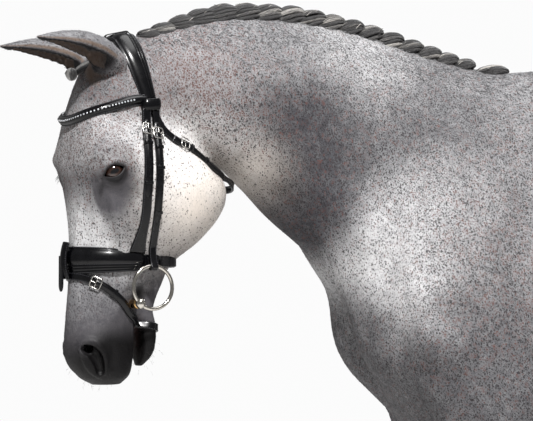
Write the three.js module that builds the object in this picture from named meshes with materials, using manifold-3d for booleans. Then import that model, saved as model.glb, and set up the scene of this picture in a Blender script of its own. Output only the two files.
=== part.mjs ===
// A life-size, still model of a flea-bitten grey riding horse. It stands square on its four hooves with the neck
// arched and the face near vertical, the mane and forelock in button plaits, and it wears a snaffle bridle.
// Millimetres, +Z up. The horse faces -X, and its left side faces -Y. While it is being made, X is measured from
// the peak of the withers; the last lines move the origin to the ground under the middle of the model.
import * as THREE from "three";
import { mergeVertices } from "three/addons/utils/BufferGeometryUtils.js";
import Module from "manifold-3d";

const wasm = await Module();
wasm.setup();

// ---------------------------------------------------------------- driving dimensions

const CUT = 0.6; // the gap between two neighbouring solids
const GROW = 0.5; // how far a body is grown before a neighbour is cut by it
const BEND_START = -250; // the neck starts to turn to the left here,
const BEND_END = -600; // has turned fully here,
const BEND_ANGLE = THREE.MathUtils.degToRad(16); // and by this much
const LEATHER = 4.5; // thickness of a bridle strap
const STEP_SIDES = 20; // sides of a body's ring, unless it says otherwise
const LEFT = -1;
const RIGHT = 1;

// A row of these tables is one ring of a body: [front or top point x, z, rear or bottom point x, z, half width,
// share of the way from the first point to the second where the ring is widest, fullness at the first point,
// fullness at the second, distance of the middle from the median plane]. Fullness 2 is an ellipse.
const TRUNK = [
  [-366, 1225, -354, 1150, 50, 0.5, 2, 2, 0],
  [-350, 1300, -316, 1088, 130, 0.5, 2, 2.1, 0],
  [-296, 1400, -262, 1020, 188, 0.55, 2, 2.2, 0],
  [-200, 1520, -180, 948, 214, 0.6, 1.9, 2.2, 0],
  [-100, 1610, -95, 895, 222, 0.62, 1.6, 2.2, 0],
  [0, 1650, 0, 873, 230, 0.63, 1.5, 2.2, 0],
  [130, 1630, 130, 862, 256, 0.62, 1.65, 2.2, 0],
  [300, 1597, 300, 858, 284, 0.58, 1.9, 2.2, 0],
  [500, 1582, 500, 870, 296, 0.55, 2.1, 2.2, 0],
  [680, 1594, 680, 908, 286, 0.5, 2.2, 2.2, 0],
  [800, 1616, 800, 955, 268, 0.42, 2.1, 2.1, 0],
  [910, 1626, 910, 1005, 266, 0.4, 2, 2, 0],
  [1010, 1608, 1010, 1055, 264, 0.42, 2, 2, 0],
  [1105, 1564, 1105, 1090, 246, 0.46, 2, 2, 0],
  [1185, 1502, 1195, 1125, 208, 0.48, 2, 2, 0],
  [1248, 1420, 1255, 1190, 148, 0.5, 2, 2, 0],
  [1280, 1355, 1283, 1270, 60, 0.5, 2, 2, 0],
];
const NECK = [
  [-815, 1665, -752, 1520, 40, 0.5, 2, 2, 0],
  [-768, 1686, -668, 1486, 57, 0.5, 1.9, 2, 0],
  [-712, 1706, -608, 1460, 66, 0.55, 1.8, 2.1, 0],
  [-622, 1730, -568, 1427, 74, 0.58, 1.7, 2.2, 0],
  [-525, 1737, -518, 1379, 81, 0.6, 1.65, 2.2, 0],
  [-430, 1731, -460, 1330, 93, 0.6, 1.65, 2.2, 0],
  [-334, 1711, -412, 1270, 110, 0.6, 1.65, 2.2, 0],
  [-230, 1680, -374, 1215, 134, 0.6, 1.6, 2.2, 0],
  [-125, 1655, -330, 1145, 158, 0.62, 1.6, 2.1, 0],
  [-10, 1640, -240, 1060, 150, 0.62, 1.6, 2, 0],
];
const HEAD = [
  [-842, 1672, -792, 1690, 26, 0.5, 2, 2, 0],
  [-872, 1640, -745, 1652, 50, 0.5, 2, 2, 0],
  [-890, 1600, -722, 1600, 66, 0.42, 2.1, 2, 0],
  [-902, 1555, -700, 1545, 80, 0.34, 2.3, 2.1, 0],
  [-907, 1510, -662, 1492, 93, 0.25, 2.5, 2.2, 0],
  [-907, 1470, -628, 1456, 99, 0.2, 2.7, 2.4, 0],
  [-904, 1430, -614, 1420, 96, 0.24, 2.5, 2.6, 0],
  [-902, 1388, -624, 1382, 88, 0.32, 2.3, 2.5, 0],
  [-901, 1340, -662, 1336, 74, 0.42, 2, 2.3, 0],
  [-902, 1295, -712, 1296, 62, 0.48, 1.9, 2.2, 0],
  [-905, 1245, -764, 1252, 53, 0.52, 1.9, 2.1, 0],
  [-908, 1200, -784, 1206, 51, 0.55, 2, 2.1, 0],
  [-907, 1160, -786, 1164, 54, 0.46, 2.2, 2.1, 0],
  [-899, 1130, -787, 1132, 50, 0.44, 2.2, 2.1, 0],
  [-880, 1104, -793, 1108, 40, 0.5, 2.1, 2.1, 0],
  [-856, 1091, -808, 1092, 22, 0.5, 2, 2, 0],
];
const JAW = [
  [-812, 1330, -694, 1322, 40, 0.5, 2, 2.2, 0],
  [-812, 1272, -725, 1268, 37, 0.5, 2, 2.1, 0],
  [-802, 1225, -750, 1222, 33, 0.5, 2, 2.1, 0],
  [-782, 1192, -748, 1194, 33, 0.55, 2, 2.2, 0],
  [-779, 1165, -747, 1166, 32, 0.55, 2.1, 2.2, 0],
  [-778, 1140, -755, 1140, 25, 0.5, 2.1, 2.1, 0],
  [-777, 1124, -768, 1123, 12, 0.5, 2, 2, 0],
];
const FORELEG = [
  [-262, 1200, -35, 1180, 50, 0.5, 2, 2, 148],
  [-256, 1100, -3, 1060, 72, 0.45, 2, 2, 150],
  [-241, 1010, -5, 975, 74, 0.42, 2, 2, 147],
  [-228, 930, -31, 915, 64, 0.4, 2, 2, 141],
  [-219, 850, -67, 840, 53, 0.4, 2, 2, 135],
  [-208, 750, -95, 745, 43, 0.42, 2, 2, 130],
  [-201, 650, -112, 648, 35, 0.45, 2, 2, 126],
  [-198, 585, -119, 585, 33, 0.45, 2, 2.1, 124],
  [-204, 535, -115, 530, 39, 0.4, 2.3, 2.2, 124],
  [-199, 480, -117, 472, 36, 0.4, 2.2, 2.1, 124],
  [-189, 430, -126, 428, 26, 0.42, 2, 2, 124],
  [-186, 340, -127, 340, 23, 0.45, 2, 2, 124],
  [-186, 262, -126, 258, 23.5, 0.45, 2, 2, 124],
  [-193, 216, -115, 204, 32, 0.42, 2, 2, 124],
  [-200, 178, -125, 156, 29, 0.42, 2, 2, 124],
  [-217, 136, -152, 106, 26.5, 0.45, 2, 2, 125],
  [-236, 102, -162, 70, 33, 0.45, 2, 2, 125],
  [-243, 84, -163, 50, 35, 0.45, 2, 2, 126],
];
const HINDLEG = [
  [900, 1400, 1215, 1420, 60, 0.5, 2, 2, 140],
  [846, 1300, 1284, 1325, 96, 0.5, 2, 2.1, 150],
  [815, 1190, 1293, 1225, 108, 0.5, 2, 2.2, 158],
  [800, 1095, 1272, 1120, 104, 0.45, 2.1, 2.1, 162],
  [825, 1010, 1236, 1015, 84, 0.42, 2, 2, 160],
  [892, 925, 1205, 920, 65, 0.42, 2, 1.9, 154],
  [965, 835, 1190, 830, 50, 0.42, 2, 1.8, 148],
  [1035, 750, 1196, 750, 40, 0.4, 2, 1.7, 143],
  [1086, 682, 1228, 700, 34, 0.38, 2, 1.7, 141],
  [1120, 632, 1260, 650, 36, 0.35, 2.1, 1.8, 140],
  [1142, 575, 1254, 590, 40, 0.35, 2.2, 2, 140],
  [1158, 512, 1241, 512, 36, 0.38, 2.1, 2, 140],
  [1168, 440, 1232, 440, 26, 0.4, 2, 2, 139],
  [1170, 340, 1230, 340, 24, 0.45, 2, 2, 138],
  [1167, 262, 1229, 258, 25, 0.45, 2, 2, 138],
  [1159, 216, 1240, 204, 32, 0.42, 2, 2, 138],
  [1150, 178, 1228, 156, 29, 0.42, 2, 2, 138],
  [1130, 136, 1196, 106, 27, 0.45, 2, 2, 138],
  [1108, 102, 1184, 70, 34, 0.45, 2, 2, 139],
  [1100, 84, 1182, 50, 36, 0.45, 2, 2, 139],
];
const HOOF = [
  [-4, 94, 84, 56, 42, 0.45, 2.1, 2.2, 0],
  [-12, 66, 85, 36, 47, 0.45, 2.1, 2.3, 0],
  [-24, 30, 88, 16, 54, 0.44, 2.1, 2.4, 0],
  [-34, 0, 90, 0, 58, 0.44, 2.1, 2.5, 0],
];
const TAIL = [
  [1150, 1512, 1158, 1478, 26, 0.5, 2, 2, 0],
  [1214, 1530, 1212, 1468, 33, 0.5, 2, 2, 0],
  [1272, 1516, 1248, 1452, 36, 0.5, 2, 2, 0],
  [1334, 1440, 1292, 1400, 44, 0.5, 2, 2, 0],
  [1368, 1310, 1304, 1300, 58, 0.5, 2, 2, 0],
  [1388, 1100, 1304, 1095, 76, 0.5, 2, 2, 0],
  [1396, 850, 1300, 850, 84, 0.5, 2, 2, 0],
  [1390, 620, 1300, 622, 74, 0.5, 2, 2, 0],
  [1374, 480, 1306, 485, 52, 0.5, 2, 2, 0],
  [1360, 430, 1320, 432, 34, 0.5, 2, 2, 0],
];

// Swellings and hollows of the flesh on both sides: [x, |y|, z, reach along x, across y, up z, height].
const TRUNK_FORM = [
  [-335, 80, 1160, 70, 60, 90, 20], // breast
  [-360, 0, 1150, 60, 34, 110, -18], // the groove between its two sides
  [-265, 195, 1140, 70, 80, 75, 16], // point of the shoulder
  [-130, 225, 1050, 110, 90, 100, 12], // upper arm
  [-90, 150, 1430, 60, 120, 150, -8], // behind the shoulder blade
  [-240, 150, 1430, 70, 90, 110, 10], // in front of the blade's top
  [120, 240, 1080, 60, 90, 140, -6],
  [800, 255, 1545, 60, 60, 55, 14], // point of the hip
  [850, 250, 1200, 70, 90, 120, -14], // flank
  [930, 90, 1640, 130, 60, 60, 7], // croup
];
const NECK_FORM = [
  [-330, 100, 1330, 70, 60, 60, 10], // the long muscle above the windpipe
  [-500, 60, 1460, 120, 60, 30, -5], // the jugular groove
  [-300, 90, 1560, 120, 70, 80, 7],
  [-560, 70, 1640, 140, 60, 45, 6], // the crest's fullness
  [-250, 120, 1450, 60, 80, 120, -6],
];
const HEAD_FORM = [
  [-708, 88, 1418, 82, 50, 82, 9], // cheek
  [-884, 96, 1482, 26, 40, 24, 10], // brow above the eye
  [-842, 96, 1408, 40, 40, 20, -7], // under the eye
  [-842, 66, 1366, 16, 30, 40, 5], // facial crest
  [-892, 60, 1350, 22, 34, 80, -8], // hollow beside the nasal bone
  [-838, 86, 1545, 30, 40, 26, -9], // hollow above the eye
  [-888, 48, 1146, 24, 26, 30, 7], // nostril
  [-745, 45, 1330, 30, 40, 40, -6], // between cheek and chin
  [-720, 0, 1330, 70, 18, 60, -10], // between the jaw bones
];

// ---------------------------------------------------------------- making bodies

// One value of a smooth curve through the numbers of a column, at ring number k, which may lie between two rings.
function smoothRow(rows, spacing, k) {
  const last = rows.length - 1;
  const i = Math.min(Math.floor(k), last - 1);
  const f = k - i;
  const slope = (j, c) => {
    const a = Math.max(j - 1, 0);
    const b = Math.min(j + 1, last);
    return (rows[b][c] - rows[a][c]) / (spacing[b] - spacing[a]);
  };
  const h = spacing[i + 1] - spacing[i];
  return rows[i].map((_, c) => {
    const p = rows[i][c];
    const q = rows[i + 1][c];
    const m = slope(i, c) * h;
    const n = slope(i + 1, c) * h;
    return (2 * f ** 3 - 3 * f ** 2 + 1) * p + (f ** 3 - 2 * f ** 2 + f) * m
      + (3 * f ** 2 - 2 * f ** 3) * q + (f ** 3 - f ** 2) * n;
  });
}

function spacingOf(rows) {
  const spacing = [0];
  for (let i = 1; i < rows.length; i += 1) {
    const [a, b] = [rows[i - 1], rows[i]];
    const dx = (b[0] + b[2] - a[0] - a[2]) / 2;
    const dz = (b[1] + b[3] - a[1] - a[3]) / 2;
    spacing.push(spacing[i - 1] + Math.max(Math.hypot(dx, dz), 5));
  }
  return spacing;
}

// Swells or hollows a merged geometry, each place along its own normal.
function swell(geometry, form) {
  geometry.computeVertexNormals();
  const position = geometry.attributes.position;
  const normal = geometry.attributes.normal;
  for (let i = 0; i < position.count; i += 1) {
    const [x, y, z] = [position.getX(i), position.getY(i), position.getZ(i)];
    let rise = 0;
    for (const [cx, cy, cz, rx, ry, rz, height] of form) {
      const d = ((x - cx) / rx) ** 2 + ((Math.abs(y) - cy) / ry) ** 2 + ((z - cz) / rz) ** 2;
      rise += height * Math.exp(-d);
    }
    position.setXYZ(i, x + rise * normal.getX(i), y + rise * normal.getY(i), z + rise * normal.getZ(i));
  }
}

// A cylinder whose rings are carried onto the rings of a table, with per rings for each row.
function loft(rows, { per = 1, sides = STEP_SIDES, side = 1, grow = 0, form = [], shift = [0, 0, 0] } = {}) {
  const spans = rows.length - 1;
  const spacing = spacingOf(rows);
  const geometry = new THREE.CylinderGeometry(1, 1, 1, sides, spans * per);
  const position = geometry.attributes.position;
  for (let i = 0; i < position.count; i += 1) {
    const [px, py, pz] = [position.getX(i), position.getY(i), position.getZ(i)];
    const r = Math.hypot(px, pz);
    const [ax, az, bx, bz, half, widest, fullA, fullB, y] = smoothRow(rows, spacing, (0.5 - py) * spans);
    const cos = r > 0 ? px / r : 0;
    const sin = r > 0 ? pz / r : 0;
    const power = 2 / (cos > 0 ? fullA : fullB);
    const out = Math.abs(cos) ** power;
    const wide = Math.sign(sin) * Math.abs(sin) ** power * (half + grow);
    const long = Math.hypot(bx - ax, bz - az);
    const extra = (grow / long) * out * Math.sign(-cos);
    const share = widest + r * ((cos > 0 ? widest * (1 - out) : widest + (1 - widest) * out) - widest) + r * extra;
    position.setXYZ(i, shift[0] + ax + (bx - ax) * share, shift[1] + side * y + r * wide,
      shift[2] + az + (bz - az) * share);
  }
  return finished(geometry, form);
}

// Merges a geometry's vertices, turns its faces outwards and gives it its swellings.
function finished(geometry, form = []) {
  geometry.deleteAttribute("normal");
  geometry.deleteAttribute("uv");
  const merged = mergeVertices(geometry, 1e-3);
  if (signedVolume(merged) < 0) merged.setIndex([...merged.index.array].reverse());
  swell(merged, form);
  return merged;
}

function signedVolume(geometry) {
  const [a, b, c] = [new THREE.Vector3(), new THREE.Vector3(), new THREE.Vector3()];
  const index = geometry.index.array;
  let sum = 0;
  for (let i = 0; i < index.length; i += 3) {
    a.fromBufferAttribute(geometry.attributes.position, index[i]);
    b.fromBufferAttribute(geometry.attributes.position, index[i + 1]);
    c.fromBufferAttribute(geometry.attributes.position, index[i + 2]);
    sum += a.dot(b.cross(c)) / 6;
  }
  return sum;
}

// The neck's turn to the left: the median line's place and heading at each millimetre ahead of BEND_START.
const BEND_PATH = [[BEND_START, 0]];
function headingAt(ahead) {
  const t = THREE.MathUtils.clamp(ahead / (BEND_START - BEND_END), 0, 1);
  return BEND_ANGLE * t * t * (3 - 2 * t);
}
for (let s = 1; s <= BEND_START - BEND_END; s += 1) {
  const [x, y] = BEND_PATH[s - 1];
  const heading = headingAt(s - 0.5);
  BEND_PATH.push([x - Math.cos(heading), y - Math.sin(heading)]);
}

function bendPoint(x, y, z) {
  const ahead = BEND_START - x;
  if (ahead <= 0) return [x, y, z];
  const last = BEND_PATH.length - 1;
  const heading = headingAt(ahead);
  const [cos, sin] = [Math.cos(heading), Math.sin(heading)];
  const s = Math.min(ahead, last);
  const i = Math.min(Math.floor(s), last - 1);
  const [x0, y0] = BEND_PATH[i];
  const [x1, y1] = BEND_PATH[i + 1];
  const past = ahead - s;
  return [x0 + (x1 - x0) * (s - i) - past * cos - sin * y, y0 + (y1 - y0) * (s - i) - past * sin + cos * y, z];
}

function bent(geometry) {
  const position = geometry.attributes.position;
  for (let i = 0; i < position.count; i += 1) {
    position.setXYZ(i, ...bendPoint(position.getX(i), position.getY(i), position.getZ(i)));
  }
  return geometry;
}

// A merged, closed geometry as a solid that can be cut and joined.
function solid(geometry) {
  return new wasm.Manifold(new wasm.Mesh({
    numProp: 3,
    vertProperties: new Float32Array(geometry.attributes.position.array),
    triVerts: new Uint32Array(geometry.index.array),
  }));
}

function geometryOf(body) {
  const { numProp, numVert, vertProperties, triVerts } = body.getMesh();
  const points = new Float32Array(numVert * 3);
  for (let i = 0; i < numVert; i += 1) {
    points.set(vertProperties.subarray(i * numProp, i * numProp + 3), i * 3);
  }
  const geometry = new THREE.BufferGeometry();
  geometry.setAttribute("position", new THREE.BufferAttribute(points, 3));
  geometry.setIndex(new THREE.BufferAttribute(new Uint32Array(triVerts), 1));
  geometry.computeVertexNormals();
  return geometry;
}

// The largest of a solid's separate bodies, which drops the crumbs that a cut can leave.
function largest(body) {
  return body.decompose().reduce((a, b) => (b.volume() > a.volume() ? b : a));
}

function block(size, centre, turn = 0, grow = 0) {
  const geometry = new THREE.BoxGeometry(size[0] + 2 * grow, size[1] + 2 * grow, size[2] + 2 * grow);
  geometry.rotateY(turn);
  geometry.translate(...centre);
  return finished(geometry);
}

function ball(radii, centre, segments = 16) {
  const geometry = new THREE.SphereGeometry(1, segments, Math.round(segments * 0.6));
  geometry.scale(...radii);
  geometry.translate(...centre);
  return finished(geometry);
}

// ---------------------------------------------------------------- materials

const material = (color, roughness, metalness = 0) => new THREE.MeshStandardMaterial({ color, roughness, metalness });
const COAT = material(0xc9c4c1, 0.8);
const DARK_COAT = material(0x4a474a, 0.8);
const HORN = material(0x4b443c, 0.6);
const MANE = material(0x3d3b3b, 0.7);
const TAIL_HAIR = material(0x8f8a88, 0.7);
const EYE = material(0x1a100a, 0.08);
const STRAP = material(0x14141a, 0.4);
const METAL = material(0xb9b6ae, 0.2, 1);
const CRYSTAL = material(0xf2f5f8, 0.1, 0.4);

const horse = new THREE.Group();

function add(name, body, look) {
  const mesh = new THREE.Mesh(geometryOf(largest(body)), look);
  mesh.name = name;
  horse.add(mesh);
}

// ---------------------------------------------------------------- flesh

const trunkLoft = (grow = 0) => solid(loft(TRUNK, { sides: 22, grow, form: TRUNK_FORM }));
const neckLoft = (grow = 0) => solid(bent(loft(NECK, { sides: 20, grow, form: NECK_FORM })));
const skullLoft = (grow = 0) => solid(bent(loft(HEAD, { sides: 24, grow, form: HEAD_FORM })));
const jawLoft = (grow = 0) => solid(bent(loft(JAW, { sides: 12, grow })));
const headLoft = (grow = 0) => skullLoft(grow).add(jawLoft(grow));
const forelegLoft = (side) => solid(loft(FORELEG, { sides: 14, side }));
const hindlegLoft = (side) => solid(loft(HINDLEG, { sides: 14, side }));

const EYE_RADIUS = 20;
const EYE_CENTRE = [-858, 80, 1446];
const eyeBall = (side, grow = 0) => solid(bent(ball(
  [EYE_RADIUS + grow, EYE_RADIUS + grow, EYE_RADIUS + grow],
  [EYE_CENTRE[0], side * EYE_CENTRE[1], EYE_CENTRE[2]], 14,
)));
const nostril = (side) => solid(bent(ball([9, 16, 15], [-884, side * 54, 1137], 12)));

const SIDES = { left: LEFT, right: RIGHT };
const bitChannel = new THREE.CylinderGeometry(6 + GROW, 6 + GROW, 200, 10, 1);
bitChannel.translate(-804, 0, 1229);
let flesh = trunkLoft().add(neckLoft()).add(headLoft()).subtract(solid(bent(finished(bitChannel))));
for (const side of [LEFT, RIGHT]) {
  flesh = flesh.add(forelegLoft(side)).add(hindlegLoft(side));
  flesh = flesh.subtract(eyeBall(side, GROW)).subtract(nostril(side));
}

// Takes the part of the flesh inside a region, and leaves the rest CUT away from it.
function take(region) {
  const part = flesh.intersect(solid(region(0)));
  flesh = flesh.subtract(solid(region(CUT)));
  return part;
}

const headRegion = (grow) => {
  const far = 500;
  const tilt = Math.atan2(158, 260);
  const centre = [-690 - far * Math.cos(tilt) - 12, 0, 1570 - far * Math.sin(tilt)];
  return bent(block([2 * far, 600, 1400], centre, -tilt, grow));
};
const neckRegion = (grow) => {
  // Its rear face runs from just ahead of the withers to the top of the breast; its lower face goes forwards there.
  const [top, foot] = [[-120, 1660], [-375, 1215]];
  const length = Math.hypot(top[0] - foot[0], top[1] - foot[1]);
  const [dx, dz] = [(top[0] - foot[0]) / length, (top[1] - foot[1]) / length];
  const half = 450;
  const centre = [foot[0] + dx * half - dz * half, 0, foot[1] + dz * half + dx * half];
  return block([2 * half, 900, 2 * half], centre, Math.atan2(dx, dz), grow);
};
const forelegRegion = (side) => (grow) => block([300, 300, 980], [-180, side * 205, 400], 0, grow);
const hindlegRegion = (side) => (grow) => block([560, 330, 1200], [1195, side * 210, 483], -0.247, grow);

const parts = {};
parts.head = take(headRegion);
parts.neck = take(neckRegion);
for (const [name, side] of Object.entries(SIDES)) {
  parts[`foreleg_${name}`] = take(forelegRegion(side));
  parts[`hindleg_${name}`] = take(hindlegRegion(side));
}
parts.trunk = flesh;

// ---------------------------------------------------------------- hooves

const HOOF_PLACES = {
  fore: { x: -239, y: 126 },
  hind: { x: 1104, y: 139 },
};
for (const [end, place] of Object.entries(HOOF_PLACES)) {
  for (const [name, side] of Object.entries(SIDES)) {
    const make = (grow) => solid(loft(HOOF, { sides: 16, grow, shift: [place.x, side * place.y, 0] }));
    const leg = `${end}leg_${name}`;
    parts[leg] = parts[leg].subtract(make(GROW));
    add(`hoof_${end}_${name}`, make(0), HORN);
  }
}
for (const [name, body] of Object.entries(parts)) {
  add(name, body, COAT);
}
for (const [name, side] of Object.entries(SIDES)) {
  add(`eye_${name}`, eyeBall(side), EYE);
}

// ---------------------------------------------------------------- ears

const EAR_LENGTH = 178;
const EAR_ROOT = [-832, 46, 1632];
const EAR_TIP = [-990, 76, 1669];
const EAR_WIDTHS = [
  [0, 21], [0.12, 28], [0.3, 33], [0.5, 31], [0.7, 23], [0.86, 13], [0.95, 6.5], [1, 2],
];

// A long leaf: its rings follow the line from root to tip, which bows, and are ellipses of the given widths.
function earBody(side, share, opening) {
  const root = new THREE.Vector3(EAR_ROOT[0], side * EAR_ROOT[1], EAR_ROOT[2]);
  const tip = new THREE.Vector3(EAR_TIP[0], side * EAR_TIP[1], EAR_TIP[2]);
  const along = tip.clone().sub(root).normalize();
  const front = new THREE.Vector3(-0.32, side * 0.42, -0.85);
  front.addScaledVector(along, -front.dot(along)).normalize();
  const across = new THREE.Vector3().crossVectors(along, front);
  const widths = new THREE.SplineCurve(EAR_WIDTHS.map(([t, w]) => new THREE.Vector2(t, w)));
  const geometry = new THREE.CylinderGeometry(1, 1, 1, 10, 8);
  const position = geometry.attributes.position;
  for (let i = 0; i < position.count; i += 1) {
    const t = 0.5 - position.getY(i);
    const half = Math.max(widths.getPoint(t).y * share, 0.4);
    const bow = 9 * Math.sin(Math.PI * t) - 6 * t * t;
    const point = root.clone().addScaledVector(along, EAR_LENGTH * (opening ? 0.16 + 0.78 * t : t));
    point.addScaledVector(front, (opening ? half * 0.95 : 0) - bow + position.getX(i) * half * (opening ? 0.9 : 0.72));
    point.addScaledVector(across, position.getZ(i) * half);
    position.setXYZ(i, ...point);
  }
  return solid(bent(finished(geometry)));
}
const headGrown = headLoft(GROW).add(neckLoft(GROW));
for (const [name, side] of Object.entries(SIDES)) {
  add(`ear_${name}`, earBody(side, 1, false).subtract(earBody(side, 0.8, true)).subtract(headGrown), COAT);
}

// ---------------------------------------------------------------- mane, forelock and tail

// Each plait is a rounded roll that sits across the crest: [place along the crest x, half length, height].
const PLAITS = [
  [-752, 14, 9], [-724, 15, 12], [-690, 18, 17], [-653, 20, 20], [-612, 22, 22], [-568, 22, 22],
  [-524, 21, 22], [-481, 21, 22], [-440, 20, 21], [-402, 18, 20], [-366, 18, 20], [-330, 18, 20],
  [-293, 18, 19], [-257, 18, 18], [-221, 17, 17], [-187, 16, 15], [-155, 15, 13], [-100, 20, 12],
];
const crestHeight = (x) => {
  const spacing = spacingOf(NECK);
  let k = 0;
  for (let step = 0; step <= (NECK.length - 1) * 40; step += 1) {
    if (smoothRow(NECK, spacing, step / 40)[0] <= x) k = step / 40;
  }
  return smoothRow(NECK, spacing, k)[1];
};
const bodyGrown = neckLoft(GROW).add(trunkLoft(GROW)).add(headLoft(GROW));
PLAITS.forEach(([x, half, height], i) => {
  const geometry = ball([half * 1.04, 23, height + 9], [x, 5, crestHeight(x) - 6], 8);
  const body = solid(bent(geometry));
  const [next] = PLAITS[i + 1] ?? [x + 90];
  const end = bent(block([90, 120, 120], [(x + next) / 2 + 45 - CUT, 0, crestHeight(x)]));
  const [before] = PLAITS[i - 1] ?? [x - 90];
  const start = bent(block([90, 120, 120], [(x + before) / 2 - 45 + CUT, 0, crestHeight(x)]));
  const trimmed = body.subtract(solid(end)).subtract(solid(start)).subtract(bodyGrown);
  add(`mane_plait_${String(i + 1).padStart(2, "0")}`, trimmed, MANE);
});
add("forelock_plait", solid(bent(ball([17, 13, 17], [-906, 0, 1606], 10))).subtract(headGrown), MANE);
add("tail", solid(loft(TAIL, { sides: 14 })).subtract(trunkLoft(GROW)), TAIL_HAIR);

// ---------------------------------------------------------------- bridle

// Every strap lies on the head and on the straps under it. A path is found by looking from outside towards a
// point inside the head, once for each angle, at the flesh as it is before the neck turns.
const flatFlesh = new THREE.Group();
flatFlesh.add(new THREE.Mesh(loft(HEAD, { sides: 24, form: HEAD_FORM })));
flatFlesh.add(new THREE.Mesh(loft(JAW, { sides: 12 })));
flatFlesh.add(new THREE.Mesh(loft(NECK, { sides: 20, form: NECK_FORM })));
flatFlesh.updateMatrixWorld(true);
const REACH = 400;

function surfacePoint(inside, outwards) {
  const origin = inside.clone().addScaledVector(outwards, REACH);
  const ray = new THREE.Raycaster(origin, outwards.clone().negate(), 0, REACH);
  const hit = ray.intersectObjects(flatFlesh.children, false)[0];
  return hit ? hit.point : inside.clone();
}

// A strap: a rectangle carried along points, its width along the surface and its thickness away from the middle.
// It reaches SINK under the surface, and what lies under it is cut away afterwards.
const SINK = 4;
const at = (value, t) => (typeof value === "function" ? value(t) : value);
function strap(points, middle, { width, thickness = LEATHER, lift = 0, steps = points.length - 1 }) {
  const curve = new THREE.CatmullRomCurve3(points);
  const geometry = new THREE.BoxGeometry(1, 1, 1, 1, 1, steps);
  const position = geometry.attributes.position;
  for (let i = 0; i < position.count; i += 1) {
    const t = position.getZ(i) + 0.5;
    const point = curve.getPoint(t);
    const along = curve.getTangent(t);
    const out = point.clone().sub(middle(point));
    out.addScaledVector(along, -out.dot(along)).normalize();
    const across = new THREE.Vector3().crossVectors(out, along);
    point.addScaledVector(across, position.getX(i) * at(width, t));
    point.addScaledVector(out, at(lift, t) - SINK + (position.getY(i) + 0.5) * (at(thickness, t) + SINK));
    position.setXYZ(i, ...point);
  }
  return solid(bent(finished(geometry)));
}

// Points round a level section of the head, from one angle to another: 0 is forwards, 90 the left side.
function loopPoints({ centre, from, to, steps, rise = () => 0 }) {
  const points = [];
  for (let i = 0; i <= steps; i += 1) {
    const angle = THREE.MathUtils.degToRad(from + ((to - from) * i) / steps);
    const outwards = new THREE.Vector3(-Math.cos(angle), -Math.sin(angle), 0);
    const inside = new THREE.Vector3(...centre);
    inside.z += rise(angle);
    points.push(surfacePoint(inside, outwards));
  }
  return points;
}

// Points on one side of the head, level with each given place in the median plane.
function sidePoints(side, places) {
  return places.map(([x, z]) => surfacePoint(new THREE.Vector3(x, 0, z), new THREE.Vector3(0, side, 0)));
}
const median = (point) => new THREE.Vector3(point.x, 0, point.z);
const axisAt = (x) => (point) => new THREE.Vector3(x, 0, point.z);

const JUNCTION = [-787, 1560]; // where the browband's loop gathers the straps, x and z
const straps = {};

// Headpiece: over the poll behind the ears, down to the browband's loops.
const POLL_MIDDLE = [-790, 0, 1580];
const headpiecePoints = [];
for (let i = 0; i <= 14; i += 1) {
  const angle = THREE.MathUtils.degToRad(-101 + (202 * i) / 14);
  const outwards = new THREE.Vector3(-0.24 * Math.cos(angle), -Math.sin(angle), Math.cos(angle));
  headpiecePoints.push(surfacePoint(new THREE.Vector3(...POLL_MIDDLE), outwards.normalize()));
}
straps.headpiece = strap(headpiecePoints, () => new THREE.Vector3(...POLL_MIDDLE), {
  width: (t) => 27 + 15 * Math.sin(Math.PI * t), thickness: LEATHER + 3,
});

// Browband: from loop to loop, dipping in a wave on the forehead.
straps.browband = strap(loopPoints({
  centre: [-800, 0, 1570], from: -98, to: 98, steps: 14, rise: (angle) => -34 * Math.cos(angle) ** 2,
}), axisAt(-800), { width: 17, thickness: LEATHER + 2, lift: 1 });

// Noseband: a broad padded front, and a narrower strap under the jaw. It is closed by a short lap at the back.
const noseLoop = loopPoints({ centre: [-802, 0, 1301], from: -176, to: 176, steps: 24 });
straps.noseband = strap(noseLoop, axisAt(-802), {
  width: (t) => (Math.abs(t - 0.5) < 0.27 ? 46 - 60 * Math.abs(t - 0.5) : 20),
  thickness: (t) => (Math.abs(t - 0.5) < 0.2 ? LEATHER + 4 : LEATHER),
});

// Flash strap: from the front of the noseband down round the groove of the chin.
straps.flash_strap = strap(loopPoints({
  centre: [-812, 0, 1215], from: -174, to: 174, steps: 22,
  rise: (angle) => (Math.cos(angle) > 0 ? 52 : 28) * Math.cos(angle),
}), axisAt(-812), { width: 13, thickness: LEATHER - 1 });

// Throatlatch: from the browband's loop round behind the cheeks.
const throatSide = (side) => sidePoints(side, [[-782, 1552], [-764, 1522], [-740, 1502], [-714, 1490],
  [-688, 1475], [-660, 1459]]);
straps.throatlatch = strap([
  ...throatSide(LEFT),
  new THREE.Vector3(-624, -50, 1438), new THREE.Vector3(-606, -18, 1426),
  new THREE.Vector3(-606, 18, 1426), new THREE.Vector3(-624, 50, 1438),
  ...throatSide(RIGHT).reverse(),
], (point) => new THREE.Vector3(-735, 0, point.z + 20), { width: 13 });

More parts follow.
